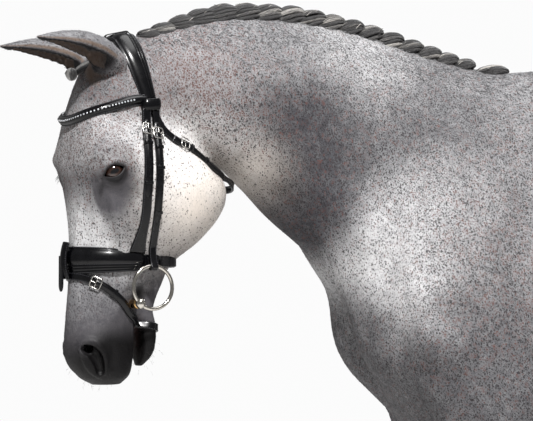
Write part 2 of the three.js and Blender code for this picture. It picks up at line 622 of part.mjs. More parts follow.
// On each side, the noseband's own cheek strap, and the cheekpiece over it that holds the bit's ring.
const NOSE_STRAP_X = -802;
const CHEEKPIECE_X = -776;
const RING_CENTRE = [-781, 72.5, 1256];
const RING_RADIUS = 36;
const RING_WIRE = 3.6;
const BIT_PLACE = [-804, 1229]; // the mouthpiece, x and z
const ringBody = (side, grow = 0) => {
  const geometry = new THREE.TorusGeometry(RING_RADIUS, RING_WIRE + grow, 6, 20);
  geometry.rotateX(Math.PI / 2);
  geometry.translate(RING_CENTRE[0], side * RING_CENTRE[1], RING_CENTRE[2]);
  return solid(bent(finished(geometry)));
};
for (const [name, side] of Object.entries(SIDES)) {
  straps[`noseband_strap_${name}`] = strap(sidePoints(side, [[NOSE_STRAP_X + 10, 1549], [NOSE_STRAP_X, 1500],
    [NOSE_STRAP_X, 1440], [NOSE_STRAP_X, 1380], [NOSE_STRAP_X - 4, 1327]]), median, {
    width: (t) => 14 + 90 * Math.max(0, t - 0.78), lift: (t) => 2.5 + 4 * Math.max(0, 1 - 6 * t),
  });
  const cheekpiece = strap([
    ...sidePoints(side, [[JUNCTION[0] + 6, 1549], [CHEEKPIECE_X, 1500], [CHEEKPIECE_X, 1440],
      [CHEEKPIECE_X, 1380], [CHEEKPIECE_X - 2, 1340]]),
    new THREE.Vector3(CHEEKPIECE_X - 4, side * 68, 1310), new THREE.Vector3(CHEEKPIECE_X - 5, side * 69, 1286),
  ], median, { width: 13, thickness: LEATHER + 3, lift: (t) => 2 + 3 * Math.max(0, 1 - 6 * t) });
  straps[`cheekpiece_${name}`] = cheekpiece.subtract(ringBody(side, GROW));
}

// Straps are cut by the head and by the straps that lie under them.
const LAYERS = ["headpiece", "noseband", "noseband_strap_left", "noseband_strap_right", "throatlatch",
  "flash_strap", "cheekpiece_left", "cheekpiece_right", "browband"];
let under = headGrown;
const bridle = {};
for (const name of LAYERS) {
  bridle[name] = largest(straps[name].subtract(under));
  add(name, bridle[name], STRAP);
  under = under.add(grownStrap(name));
}

// A strap thickened by GROW, which leaves the gap between it and what lies over it.
function grownStrap(name) {
  const geometry = geometryOf(straps[name]);
  const position = geometry.attributes.position;
  const normal = geometry.attributes.normal;
  for (let i = 0; i < position.count; i += 1) {
    position.setXYZ(i, position.getX(i) + GROW * normal.getX(i), position.getY(i) + GROW * normal.getY(i),
      position.getZ(i) + GROW * normal.getZ(i));
  }
  return solid(geometry);
}

// The loop at the front of the noseband that carries the flash strap, and a buckle's frame on each closing strap.
const flashLoop = solid(bent(block([18, 24, 62], [-910, 0, 1299])));
add("flash_loop", flashLoop.subtract(under), STRAP);
const frameBody = (size, place, turnX, turnZ) => {
  const [wide, high] = size;
  const shape = new THREE.Shape([[-wide, -high], [wide, -high], [wide, high], [-wide, high]]
    .map(([x, y]) => new THREE.Vector2(x / 2, y / 2)));
  shape.holes.push(new THREE.Path([[-wide, -high], [-wide, high], [wide, high], [wide, -high]]
    .map(([x, y]) => new THREE.Vector2(x / 2 - Math.sign(x) * 3, y / 2 - Math.sign(y) * 3))));
  const geometry = new THREE.ExtrudeGeometry(shape, { depth: 3, bevelEnabled: false });
  geometry.rotateX(Math.PI / 2);
  geometry.rotateY(turnX);
  geometry.rotateZ(turnZ);
  geometry.translate(...place);
  return solid(bent(finished(geometry)));
};
// Each buckle: name, side, the strap's height x and z, frame's size, turn in the plane of the cheek.
const BUCKLES = [
  ["buckle_noseband", LEFT, [NOSE_STRAP_X, 1518], [22, 22], 0],
  ["buckle_noseband", RIGHT, [NOSE_STRAP_X, 1518], [22, 22], 0],
  ["buckle_cheekpiece", LEFT, [CHEEKPIECE_X, 1492], [22, 22], 0],
  ["buckle_cheekpiece", RIGHT, [CHEEKPIECE_X, 1492], [22, 22], 0],
  ["buckle_throatlatch", LEFT, [-714, 1490], [22, 22], 0.5],
  ["buckle_flash", LEFT, [-868, 1252], [22, 22], 0.45],
];
for (const [kind, side, [x, z], size, turn] of BUCKLES) {
  const [point] = sidePoints(side, [[x, z]]);
  const out = Math.abs(point.y) + LEATHER + (kind === "buckle_cheekpiece" ? 9 : 3);
  const body = frameBody(size, [x, side * out + (side > 0 ? 3 : 0), z], turn, 0);
  add(`${kind}_${side < 0 ? "left" : "right"}`, body.subtract(under), METAL);
}

// ---------------------------------------------------------------- bit

const bar = new THREE.CylinderGeometry(6, 6, 2 * (RING_CENTRE[1] - 4), 10, 1);
bar.translate(BIT_PLACE[0], 0, BIT_PLACE[1]);
let mouthpiece = solid(bent(finished(bar)));
for (const [name, side] of Object.entries(SIDES)) {
  mouthpiece = mouthpiece.add(solid(bent(ball([9, 8, 9], [BIT_PLACE[0], side * RING_CENTRE[1], BIT_PLACE[1]], 8))));
  mouthpiece = mouthpiece.subtract(ringBody(side, GROW));
  add(`bit_ring_${name}`, ringBody(side), METAL);
}
add("bit_mouthpiece", mouthpiece, METAL);

// ---------------------------------------------------------------- origin

const bounds = new THREE.Box3().setFromObject(horse, true);
const centre = bounds.getCenter(new THREE.Vector3());
horse.position.set(-centre.x, -centre.y, -bounds.min.z);

export default horse;
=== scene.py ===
"""Dresses the frame of a life-size, still horse: a flea-bitten grey with a plaited mane and a snaffle bridle.

Lengths are metres. The horse faces -X and its left side faces -Y. Everything is first shaped on a "straight"
horse, whose neck doesn't turn: there x is measured from the peak of the withers, y from the median plane,
positive on the right, and z from the ground. Tables are in millimetres. Pose carries the straight horse onto
the frame.
"""

import logging
import math
from dataclasses import dataclass, field
from enum import Enum
from functools import partial
from typing import Callable, Iterable, Sequence

import bmesh
import bpy
import numpy as np
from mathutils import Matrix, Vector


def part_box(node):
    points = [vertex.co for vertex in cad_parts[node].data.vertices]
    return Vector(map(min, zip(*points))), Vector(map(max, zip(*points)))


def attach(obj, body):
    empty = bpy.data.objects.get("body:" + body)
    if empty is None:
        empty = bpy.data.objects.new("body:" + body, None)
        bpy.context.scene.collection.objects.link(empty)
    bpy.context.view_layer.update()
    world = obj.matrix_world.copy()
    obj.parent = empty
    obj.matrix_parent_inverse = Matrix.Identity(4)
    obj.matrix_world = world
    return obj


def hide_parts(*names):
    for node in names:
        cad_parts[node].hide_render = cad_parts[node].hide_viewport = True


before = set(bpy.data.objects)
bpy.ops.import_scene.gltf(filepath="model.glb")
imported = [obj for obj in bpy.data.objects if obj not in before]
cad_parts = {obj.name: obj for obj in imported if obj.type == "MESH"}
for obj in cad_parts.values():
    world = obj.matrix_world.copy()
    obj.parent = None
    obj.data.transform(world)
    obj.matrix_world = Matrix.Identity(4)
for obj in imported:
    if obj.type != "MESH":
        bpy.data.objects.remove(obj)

import openvdb
from mathutils import Vector
from mathutils.bvhtree import BVHTree

LOG = logging.getLogger("horse")
MM = 0.001
Array = np.ndarray
Points = Sequence[Sequence[float]]
Faces = list[tuple[int, ...]]
Body = tuple[Array, Array, Array]  # vertices, quads and triangles
Window = tuple[slice, ...]  # part of a grid


class Side(Enum):
    """The two sides of the horse; the value is the sign of y on the straight horse."""

    LEFT = -1
    RIGHT = 1

    @property
    def word(self) -> str:
        """The side as it is written in a node's name."""
        return self.name.lower()


# ---------------------------------------- pose


@dataclass
class Pose:
    """Carries points of the straight horse onto the frame, which stands on its hooves and turns its neck.

    Attributes:
        origin: where the straight horse's origin is in the frame.
        start: x where the neck begins to turn to the left.
        end: x where it has turned fully.
        angle: how far it turns, in radians.
    """

    origin: Array
    start: float = -0.250
    end: float = -0.600
    angle: float = math.radians(16)
    TOE: float = -0.273  # the fore hooves' toes on the straight horse

    @classmethod
    def from_frame(cls) -> "Pose":
        """Finds the origin from the boxes of the fore hooves.

        Returns:
            The pose of the frame that is loaded.
        """
        (left_low, _), (right_low, right_high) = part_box("hoof_fore_left"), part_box("hoof_fore_right")
        middle = (left_low[1] + right_high[1]) / 2
        return cls(np.array([left_low[0] - cls.TOE, middle, min(left_low[2], right_low[2])]))

    def _path(self) -> tuple[Array, Array, Array, Array]:
        """The median line ahead of the start: distance, x, y and heading at each millimetre."""
        ahead = np.arange(0.0, self.start - self.end + 1e-9, 0.001)
        heading = self._heading(ahead)
        middle = self._heading(ahead[:-1] + 0.0005)
        x = self.start - np.concatenate([[0.0], np.cumsum(np.cos(middle))]) * 0.001
        y = -np.concatenate([[0.0], np.cumsum(np.sin(middle))]) * 0.001
        return ahead, x, y, heading

    def _heading(self, ahead: Array) -> Array:
        """The neck's turn at a distance ahead of the start."""
        t = np.clip(ahead / (self.start - self.end), 0, 1)
        return self.angle * t * t * (3 - 2 * t)

    def place(self, points: Array) -> Array:
        """Carries points of the straight horse onto the frame.

        Args:
            points: (n, 3) positions on the straight horse.

        Returns:
            (n, 3) positions in the frame.
        """
        points = np.asarray(points, float).reshape(-1, 3)
        ahead, px, py, _ = self._path()
        s = self.start - points[:, 0]
        heading = self._heading(s)
        past = np.maximum(s - ahead[-1], 0)
        x = np.interp(s, ahead, px) - past * np.cos(heading) - np.sin(heading) * points[:, 1]
        y = np.interp(s, ahead, py) - past * np.sin(heading) + np.cos(heading) * points[:, 1]
        behind = s <= 0
        x[behind], y[behind] = points[behind, 0], points[behind, 1]
        return np.stack([x, y, points[:, 2]], 1) + self.origin

    def turn(self, points: Array, directions: Array) -> Array:
        """Turns directions given on the straight horse with the neck at the points they belong to.

        Args:
            points: (n, 3) positions on the straight horse.
            directions: (n, 3) directions there.

        Returns:
            (n, 3) directions in the frame.
        """
        heading = self._heading(np.maximum(self.start - points[:, 0], 0))
        c, s = np.cos(heading), np.sin(heading)
        return np.stack([c * directions[:, 0] - s * directions[:, 1],
                         s * directions[:, 0] + c * directions[:, 1], directions[:, 2]], 1)


# ---------------------------------------- tables of the body

# Each row is one ring: front or top point x, z; rear or bottom point x, z; half width; share of the way from
# the first point to the second where it is widest; fullness at the first point and at the second; y of the
# middle.
TRUNK = (
    (-366, 1225, -354, 1150, 50, 0.5, 2, 2, 0), (-350, 1300, -316, 1088, 130, 0.5, 2, 2.1, 0),
    (-296, 1400, -262, 1020, 188, 0.55, 2, 2.2, 0), (-200, 1520, -180, 948, 214, 0.6, 1.9, 2.2, 0),
    (-100, 1610, -95, 895, 222, 0.62, 1.6, 2.2, 0), (0, 1650, 0, 873, 230, 0.63, 1.5, 2.2, 0),
    (130, 1630, 130, 862, 256, 0.62, 1.65, 2.2, 0), (300, 1597, 300, 858, 284, 0.58, 1.9, 2.2, 0),
    (500, 1582, 500, 870, 296, 0.55, 2.1, 2.2, 0), (680, 1594, 680, 908, 286, 0.5, 2.2, 2.2, 0),
    (800, 1616, 800, 955, 268, 0.42, 2.1, 2.1, 0), (910, 1626, 910, 1005, 266, 0.4, 2, 2, 0),
    (1010, 1608, 1010, 1055, 264, 0.42, 2, 2, 0), (1105, 1564, 1105, 1090, 246, 0.46, 2, 2, 0),
    (1185, 1502, 1195, 1125, 208, 0.48, 2, 2, 0), (1248, 1420, 1255, 1190, 148, 0.5, 2, 2, 0),
    (1280, 1355, 1283, 1270, 60, 0.5, 2, 2, 0),
)
NECK = (
    (-815, 1665, -752, 1520, 40, 0.5, 2, 2, 0), (-768, 1686, -668, 1486, 57, 0.5, 1.9, 2, 0),
    (-712, 1706, -608, 1460, 66, 0.55, 1.8, 2.1, 0), (-622, 1730, -568, 1427, 74, 0.58, 1.7, 2.2, 0),
    (-525, 1737, -518, 1379, 81, 0.6, 1.65, 2.2, 0), (-430, 1731, -460, 1330, 93, 0.6, 1.65, 2.2, 0),
    (-334, 1711, -412, 1270, 110, 0.6, 1.65, 2.2, 0), (-230, 1680, -374, 1215, 134, 0.6, 1.6, 2.2, 0),
    (-125, 1655, -330, 1145, 158, 0.62, 1.6, 2.1, 0), (-10, 1640, -240, 1060, 150, 0.62, 1.6, 2, 0),
)
HEAD = (
    (-842, 1672, -792, 1690, 26, 0.5, 2, 2, 0), (-872, 1640, -745, 1652, 50, 0.5, 2, 2, 0),
    (-890, 1600, -722, 1600, 66, 0.42, 2.1, 2, 0), (-902, 1555, -700, 1545, 80, 0.34, 2.3, 2.1, 0),
    (-907, 1510, -662, 1492, 93, 0.25, 2.5, 2.2, 0), (-907, 1470, -628, 1456, 99, 0.2, 2.7, 2.4, 0),
    (-904, 1430, -614, 1420, 96, 0.24, 2.5, 2.6, 0), (-902, 1388, -624, 1382, 88, 0.32, 2.3, 2.5, 0),
    (-901, 1340, -662, 1336, 74, 0.42, 2, 2.3, 0), (-902, 1295, -712, 1296, 62, 0.48, 1.9, 2.2, 0),
    (-905, 1245, -764, 1252, 53, 0.52, 1.9, 2.1, 0), (-908, 1200, -784, 1206, 51, 0.55, 2, 2.1, 0),
    (-907, 1160, -786, 1164, 54, 0.46, 2.2, 2.1, 0), (-899, 1130, -787, 1132, 50, 0.44, 2.2, 2.1, 0),
    (-880, 1104, -793, 1108, 40, 0.5, 2.1, 2.1, 0), (-856, 1091, -808, 1092, 22, 0.5, 2, 2, 0),
)
JAW = (
    (-812, 1330, -694, 1322, 40, 0.5, 2, 2.2, 0), (-812, 1272, -725, 1268, 37, 0.5, 2, 2.1, 0),
    (-802, 1225, -750, 1222, 33, 0.5, 2, 2.1, 0), (-782, 1192, -748, 1194, 33, 0.55, 2, 2.2, 0),
    (-779, 1165, -747, 1166, 32, 0.55, 2.1, 2.2, 0), (-778, 1140, -755, 1140, 25, 0.5, 2.1, 2.1, 0),
    (-777, 1124, -768, 1123, 12, 0.5, 2, 2, 0),
)
FORELEG = (
    (-262, 1200, -35, 1180, 50, 0.5, 2, 2, 148), (-256, 1100, -3, 1060, 72, 0.45, 2, 2, 150),
    (-241, 1010, -5, 975, 74, 0.42, 2, 2, 147), (-228, 930, -31, 915, 64, 0.4, 2, 2, 141),
    (-219, 850, -67, 840, 53, 0.4, 2, 2, 135), (-208, 750, -95, 745, 43, 0.42, 2, 2, 130),
    (-201, 650, -112, 648, 35, 0.45, 2, 2, 126), (-198, 585, -119, 585, 33, 0.45, 2, 2.1, 124),
    (-204, 535, -115, 530, 39, 0.4, 2.3, 2.2, 124), (-199, 480, -117, 472, 36, 0.4, 2.2, 2.1, 124),
    (-189, 430, -126, 428, 26, 0.42, 2, 2, 124), (-186, 340, -127, 340, 23, 0.45, 2, 2, 124),
    (-186, 262, -126, 258, 23.5, 0.45, 2, 2, 124), (-193, 216, -115, 204, 32, 0.42, 2, 2, 124),
    (-200, 178, -125, 156, 29, 0.42, 2, 2, 124), (-217, 136, -152, 106, 26.5, 0.45, 2, 2, 125),
    (-236, 102, -162, 70, 33, 0.45, 2, 2, 125), (-243, 84, -163, 50, 35, 0.45, 2, 2, 126),
)
HINDLEG = (
    (900, 1400, 1215, 1420, 60, 0.5, 2, 2, 140), (846, 1300, 1284, 1325, 96, 0.5, 2, 2.1, 150),
    (815, 1190, 1293, 1225, 108, 0.5, 2, 2.2, 158), (800, 1095, 1272, 1120, 104, 0.45, 2.1, 2.1, 162),
    (825, 1010, 1236, 1015, 84, 0.42, 2, 2, 160), (892, 925, 1205, 920, 65, 0.42, 2, 1.9, 154),
    (965, 835, 1190, 830, 50, 0.42, 2, 1.8, 148), (1035, 750, 1196, 750, 40, 0.4, 2, 1.7, 143),
    (1086, 682, 1228, 700, 34, 0.38, 2, 1.7, 141), (1120, 632, 1260, 650, 36, 0.35, 2.1, 1.8, 140),
    (1142, 575, 1254, 590, 40, 0.35, 2.2, 2, 140), (1158, 512, 1241, 512, 36, 0.38, 2.1, 2, 140),
    (1168, 440, 1232, 440, 26, 0.4, 2, 2, 139), (1170, 340, 1230, 340, 24, 0.45, 2, 2, 138),
    (1167, 262, 1229, 258, 25, 0.45, 2, 2, 138), (1159, 216, 1240, 204, 32, 0.42, 2, 2, 138),
    (1150, 178, 1228, 156, 29, 0.42, 2, 2, 138), (1130, 136, 1196, 106, 27, 0.45, 2, 2, 138),
    (1108, 102, 1184, 70, 34, 0.45, 2, 2, 139), (1100, 84, 1182, 50, 36, 0.45, 2, 2, 139),
)
HOOF = (
    (-4, 94, 84, 56, 42, 0.45, 2.1, 2.2, 0), (-12, 66, 85, 36, 47, 0.45, 2.1, 2.3, 0),
    (-24, 30, 88, 16, 54, 0.44, 2.1, 2.4, 0), (-34, 0, 90, 0, 58, 0.44, 2.1, 2.5, 0),
)
DEPTH = 0.003  # the coat's depth: the skin lies this far inside the frame's flesh

# Broad swellings (height over 0) and hollows of the flesh: x, y, z, reach along x, y and z, height.
SWELLS = (
    (-335, 80, 1160, 70, 60, 90, 20), (-360, 0, 1150, 60, 30, 110, -18), (-265, 195, 1140, 70, 80, 75, 16),
    (-130, 225, 1050, 110, 90, 100, 12), (-90, 150, 1430, 60, 120, 150, -8),
    (-240, 150, 1430, 70, 90, 110, 8),
    (120, 240, 1080, 60, 90, 140, -6), (800, 255, 1545, 60, 60, 55, 14), (850, 250, 1200, 70, 90, 120, -14),
    (930, 90, 1640, 130, 60, 60, 7), (-330, 100, 1330, 70, 60, 60, 8), (-300, 90, 1560, 120, 70, 80, 7),
    (-560, 70, 1640, 140, 60, 45, 6), (-250, 120, 1450, 60, 80, 120, -6),
    (-708, 88, 1418, 82, 50, 82, 9), (-884, 96, 1482, 30, 40, 28, 6), (-842, 96, 1404, 36, 40, 18, -7),
    (-892, 60, 1350, 22, 34, 80, -8), (-838, 86, 1545, 30, 40, 26, -9), (-745, 45, 1330, 30, 40, 40, -6),
    (-720, 0, 1330, 70, 18, 60, -10), (-905, 0, 1575, 30, 26, 40, -3), (-764, 0, 1160, 26, 44, 40, 3.5),
    (-770, 20, 1215, 30, 44, 40, 4), (-840, 30, 1120, 60, 40, 40, 2),
)


def smooth_rows(rows: Points, per: int) -> Array:
    """Rings between the rows of a table, on smooth curves through its columns.

    Args:
        rows: the table.
        per: how many rings each gap between two rows is divided into.

    Returns:
        (rings, columns) array.
    """
    table = np.array(rows, float)
    middle = (table[:, 0:2] + table[:, 2:4]) / 2
    spacing = np.concatenate([[0], np.cumsum(np.maximum(np.linalg.norm(np.diff(middle, axis=0), axis=1), 5))])
    last = len(table) - 1
    before, after = np.maximum(np.arange(last + 1) - 1, 0), np.minimum(np.arange(last + 1) + 1, last)
    slope = (table[after] - table[before]) / (spacing[after] - spacing[before])[:, None]
    k = np.linspace(0, last, last * per + 1)
    i = np.minimum(k.astype(int), last - 1)
    f = (k - i)[:, None]
    h = (spacing[i + 1] - spacing[i])[:, None]
    return ((2 * f**3 - 3 * f**2 + 1) * table[i] + (f**3 - 2 * f**2 + f) * slope[i] * h
            + (3 * f**2 - 2 * f**3) * table[i + 1] + (f**3 - f**2) * slope[i + 1] * h)


def loft(rows: Points, sides: int = 48, per: int = 8, side: int = 1, shift: Sequence[float] = (0, 0, 0)
         ) -> Body:
    """A closed body whose rings follow a table.

    Args:
        rows: the table, in millimetres.
        sides: points in each ring.
        per: rings in each gap between two rows.
        side: sign of y for the rings' middles.
        shift: added to every point, in millimetres.

    Returns:
        Vertices in metres, quads, and the triangles that close the two ends.
    """
    rings = smooth_rows(rows, per)
    angle = np.linspace(0, 2 * math.pi, sides, endpoint=False)
    cos, sin = np.cos(angle), np.sin(angle)
    power = np.where(cos > 0, 2 / rings[:, 6:7], 2 / rings[:, 7:8])
    out = np.abs(cos) ** power
    wide = np.sign(sin) * np.abs(sin) ** power * rings[:, 4:5]
    widest = rings[:, 5:6]
    share = np.where(cos > 0, widest * (1 - out), widest + (1 - widest) * out)
    x = rings[:, 0:1] + (rings[:, 2:3] - rings[:, 0:1]) * share
    z = rings[:, 1:2] + (rings[:, 3:4] - rings[:, 1:2]) * share
    y = side * rings[:, 8:9] + wide
    points = (np.stack([x, y, z], -1).reshape(-1, 3) + shift) * MM
    return closed_rings(points, sides)


def closed_rings(points: Array, sides: int) -> Body:
    """A closed body over rings of points.

    Args:
        points: (n, 3) vertices, one ring after the other.
        sides: points in each ring.

    Returns:
        The vertices with the middles of both ends, quads, and the triangles that close the ends.
    """
    first, ring = len(points), np.arange(sides)
    last = first - sides
    turned = (ring + 1) % sides
    starts = np.arange(0, last, sides)[:, None]
    a, b = (starts + ring).ravel(), (starts + turned).ravel()
    quads = np.stack([a, b, b + sides, a + sides], 1)
    near = np.stack([np.full(sides, first), turned, ring], 1)
    far = np.stack([np.full(sides, first + 1), last + ring, last + turned], 1)
    ends = [points[:sides].mean(0), points[last:].mean(0)]
    return np.vstack([points, ends]), quads, np.vstack([near, far])


# ---------------------------------------- the skin's volume


def spaced(stops: Sequence[tuple[float, float]]) -> Array:
    """Grid positions whose spacing changes along an axis.

    Args:
        stops: (where a stretch ends, its spacing), the first being the start of the axis.

    Returns:
        Rising positions in metres.
    """
    values = [stops[0][0] * MM]
    for end, step in stops[1:]:
        count = max(round((end * MM - values[-1]) / (step * MM)), 1)
        values.extend(np.linspace(values[-1], end * MM, count + 1)[1:])
    return np.array(values)


class Volume:
    """Signed distances, negative inside, on a grid that is finer round the head, for the right half only."""

    FAR = 0.045

    def __init__(self, coarse: float, fine: float) -> None:
        """Lays out the grid.

        Args:
            coarse: spacing over the body, in millimetres.
            fine: spacing over the head, in millimetres.
        """
        between = (coarse + fine) / 2
        self.axes = (
            spaced([(-1012, 1), (-912, 0.85 * fine), (-826, 0.6 * fine), (-596, fine), (-540, between),
                    (1316, coarse)]),
            spaced([(0, 1), (24, fine), (56, 0.75 * fine), (72, fine), (108, 0.6 * fine), (130, between),
                    (330, coarse)]),
            spaced([(26, 1), (1060, coarse), (1084, between), (1180, 0.7 * fine), (1416, fine),
                    (1476, 0.55 * fine), (1596, fine), (1692, 0.75 * fine), (1712, fine), (1772, coarse)]),
        )
        self.values = np.full([len(a) for a in self.axes], self.FAR, np.float32)

    def window(self, low: Array, high: Array) -> Window | None:
        """The part of the grid between two corners, or None where there is none."""
        cut = []
        for axis, a, b in zip(self.axes, low, high):
            i, j = int(np.searchsorted(axis, a)), int(np.searchsorted(axis, b))
            if j <= i:
                return None
            cut.append(slice(i, j))
        return tuple(cut)

    def grid(self, cut: Window) -> tuple[Array, Array, Array]:
        """Positions of the grid's points in a window, ready to broadcast."""
        x, y, z = (axis[c].astype(np.float32) for axis, c in zip(self.axes, cut))
        return x[:, None, None], y[None, :, None], z[None, None, :]

    def sample(self, body: Body, voxel: float) -> tuple[Window, Array] | None:
        """Signed distances of a closed body, on the part of this grid that it touches.

        Args:
            body: vertices, quads and triangles.
            voxel: size of the even grid that is sampled, in metres.

        Returns:
            The window and the distances in it.
        """
        points, quads, triangles = body
        band = self.FAR / voxel
        step = openvdb.createLinearTransform(voxel)
        level = openvdb.FloatGrid.createLevelSetFromPolygons(
            points.astype(np.float32), triangles.astype(np.uint32), quads.astype(np.uint32), step, band)
        low = np.floor(points.min(0) / voxel).astype(int) - int(band) - 1
        high = np.ceil(points.max(0) / voxel).astype(int) + int(band) + 1
        block = np.full(high - low + 1, self.FAR, np.float32)
        level.copyToArray(block, ijk=tuple(int(v) for v in low))
        cut = self.window(low * voxel, high * voxel)
        if cut is None:
            return None
        for axis, (grid, c) in enumerate(zip(self.axes, cut)):
            place = grid[c] / voxel - low[axis]
            i = np.clip(place.astype(int), 0, block.shape[axis] - 2)
            f = np.clip(place - i, 0, 1).astype(np.float32)
            shape = [1, 1, 1]
            shape[axis] = -1
            f = f.reshape(shape)
            block = np.take(block, i, axis) * (1 - f) + np.take(block, i + 1, axis) * f
        return cut, np.clip(block, -self.FAR, self.FAR)

    def join(self, body: Body, voxel: float, blend: float) -> None:
        """Joins a body on, with a fillet.

        Args:
            body: vertices, quads and triangles.
            voxel: as for sample.
            blend: reach of the fillet, in metres.
        """
        found = self.sample(body, voxel)
        if found is not None:
            cut, other = found
            self.values[cut] = soft_min(self.values[cut], other, blend)

    def cut_away(self, body: Body, voxel: float, blend: float) -> None:
        """Cuts a body out, with rounded edges; the arguments are those of join."""
        found = self.sample(body, voxel)
        if found is not None:
            cut, other = found
            self.values[cut] = -soft_min(-self.values[cut], other, blend)

    def swell(self, centre: Sequence[float], reach: Sequence[float], height: float) -> None:
        """Raises or hollows the surface near a point.

        Args:
            centre: x, y, z in millimetres.
            reach: along x, y and z, in millimetres.
            height: at the centre, in millimetres; below 0 is a hollow.
        """
        c, r = np.array(centre) * MM, np.array(reach) * MM
        cut = self.window(c - 2.5 * r, c + 2.5 * r)
        if cut is None:
            return
        x, y, z = self.grid(cut)
        far = ((x - c[0]) / r[0]) ** 2 + ((y - c[1]) / r[1]) ** 2 + ((z - c[2]) / r[2]) ** 2
        self.values[cut] -= np.float32(height * MM) * np.exp(-far)

    def ridge(self, path: Points, width: float, height: float) -> None:
        """Raises or hollows the surface along a line, fading out at its ends.

        Args:
            path: x, y, z of its corners, in millimetres.
            width: of the ridge, in millimetres.
            height: at its middle, in millimetres; below 0 is a groove.
        """
        p = np.array(smooth_path(path, 4)) * MM
        pad = 2.3 * width * MM
        cut = self.window(p.min(0) - pad, p.max(0) + pad)
        if cut is None:
            return
        near, along = self._near(p, cut)
        fade = np.clip(np.minimum(along, 1 - along) * 5, 0, 1)
        fade = fade * fade * (3 - 2 * fade)
        self.values[cut] -= np.float32(height * MM) * np.exp(-((near / (width * MM)) ** 2)) * fade

    def slit(self, path: Points, halves: Sequence[float], blend: float) -> None:
        """Cuts a slot straight across the body, from side to side.

        Args:
            path: x, z of its corners, in millimetres.
            halves: half its width at its start, middle and end, in millimetres; below 0 it is closed.
            blend: how round its edges are, in millimetres.
        """
        p = np.array([(x, 0.0, z) for x, z, *_ in smooth_path(path, 4)]) * MM
        pad = np.array([0.012, 0.2, 0.012])
        cut = self.window(p.min(0) - pad, p.max(0) + pad)
        near, along = self._near(p, (cut[0], slice(0, 1), cut[2]))
        bar = near - np.interp(along, [0, 0.5, 1], halves).astype(np.float32) * MM
        self.values[cut] = -soft_min(-self.values[cut], bar, blend * MM)

    def tube(self, path: Points, radii: Sequence[float], blend: float, cut_out: bool = False) -> None:
        """Joins on, or cuts out, a round bar along a line.

        Args:
            path: x, y, z of its corners, in millimetres.
            radii: at its start, middle and end, in millimetres.
            blend: reach of the fillet, in millimetres.
            cut_out: True to cut it out.
        """
        p = np.array(smooth_path(path, 4)) * MM
        pad = (max(radii) + 2 * blend + 4) * MM
        cut = self.window(p.min(0) - pad, p.max(0) + pad)
        if cut is None:
            return
        near, along = self._near(p, cut)
        bar = near - np.interp(along, [0, 0.5, 1], radii).astype(np.float32) * MM
        old = self.values[cut]
        k = blend * MM
        self.values[cut] = -soft_min(-old, bar, k) if cut_out else soft_min(old, bar, k)

    def _near(self, p: Array, cut: Window) -> tuple[Array, Array]:
        """Distance to a broken line, and how far along it the nearest point is, from 0 to 1."""
        x, y, z = self.grid(cut)
        shape = np.broadcast_shapes(x.shape, y.shape, z.shape)
        near, along = np.full(shape, 9.0, np.float32), np.zeros(shape, np.float32)
        for i in range(len(p) - 1):
            a, d = p[i], p[i + 1] - p[i]
            t = ((x - a[0]) * d[0] + (y - a[1]) * d[1] + (z - a[2]) * d[2]) / max(float(d @ d), 1e-12)
            t = np.clip(t, 0, 1)
            far = np.sqrt((x - a[0] - t * d[0]) ** 2 + (y - a[1] - t * d[1]) ** 2
                          + (z - a[2] - t * d[2]) ** 2)
            closer = far < near
            near = np.where(closer, far, near)
            along = np.where(closer, (i + t) / (len(p) - 1), along)
        return near, along

    def combine(self, centre: Sequence[float], reach: float, change: Callable[..., Array]) -> None:
        """Replaces the values round a point by those that change(values, x, y, z) gives, in metres."""
        c = np.array(centre) * MM
        cut = self.window(c - reach * MM, c + reach * MM)
        self.values[cut] = change(self.values[cut], *self.grid(cut))

    def on_side(self, path: Points, proud: float = 0.0) -> list[tuple[float, float, float]]:
        """Finds a path on the right side of the body, as seen from the side.

        Args:
            path: x, z of its corners, in millimetres.
            proud: how far it stands out of the surface, in millimetres.

        Returns:
            x, y, z of each, in millimetres.
        """
        found = []
        for x, z in path:
            i = min(int(np.searchsorted(self.axes[0], x * MM)), len(self.axes[0]) - 1)
            k = min(int(np.searchsorted(self.axes[2], z * MM)), len(self.axes[2]) - 1)
            inside = np.nonzero(self.values[i, :, k] < 0)[0]
            j = int(inside[-1]) if len(inside) else 0
            a, b = self.values[i, j, k], self.values[i, min(j + 1, len(self.axes[1]) - 1), k]
            y = self.axes[1][j] + (self.axes[1][min(j + 1, len(self.axes[1]) - 1)] - self.axes[1][j]) * (
                0 if b <= a else min(max(-a / (b - a), 0), 1))
            found.append((x, y / MM + proud, z))
        return found

    def surface(self) -> tuple[Array, Array]:
        """The whole skin, both sides of the median plane.

        Returns:
            Vertices in metres and quads that face outwards.
        """
        whole = np.concatenate([self.values[:, :0:-1], self.values], 1)
        grid = openvdb.FloatGrid(self.FAR)
        grid.copyFromArray(np.ascontiguousarray(whole))
        places, quads = grid.convertToQuads(isovalue=0.0)
        y = np.concatenate([-self.axes[1][:0:-1], self.axes[1]])
        points = np.stack([np.interp(places[:, i], np.arange(len(axis)), axis)
                           for i, axis in enumerate((self.axes[0], y, self.axes[2]))], 1)
        a, b, c = (points[quads[:, i]] for i in range(3))
        if np.einsum("ij,ij->i", a, np.cross(b, c)).sum() < 0:
            quads = quads[:, ::-1]
        return points, quads


def soft_min(a: Array, b: Array, k: float) -> Array:
    """The smaller of two distances, rounded off where they are within k of each other."""
    h = np.clip(0.5 + 0.5 * (b - a) / max(k, 1e-6), 0, 1)
    return (b * (1 - h) + a * h - k * h * (1 - h)).astype(np.float32)


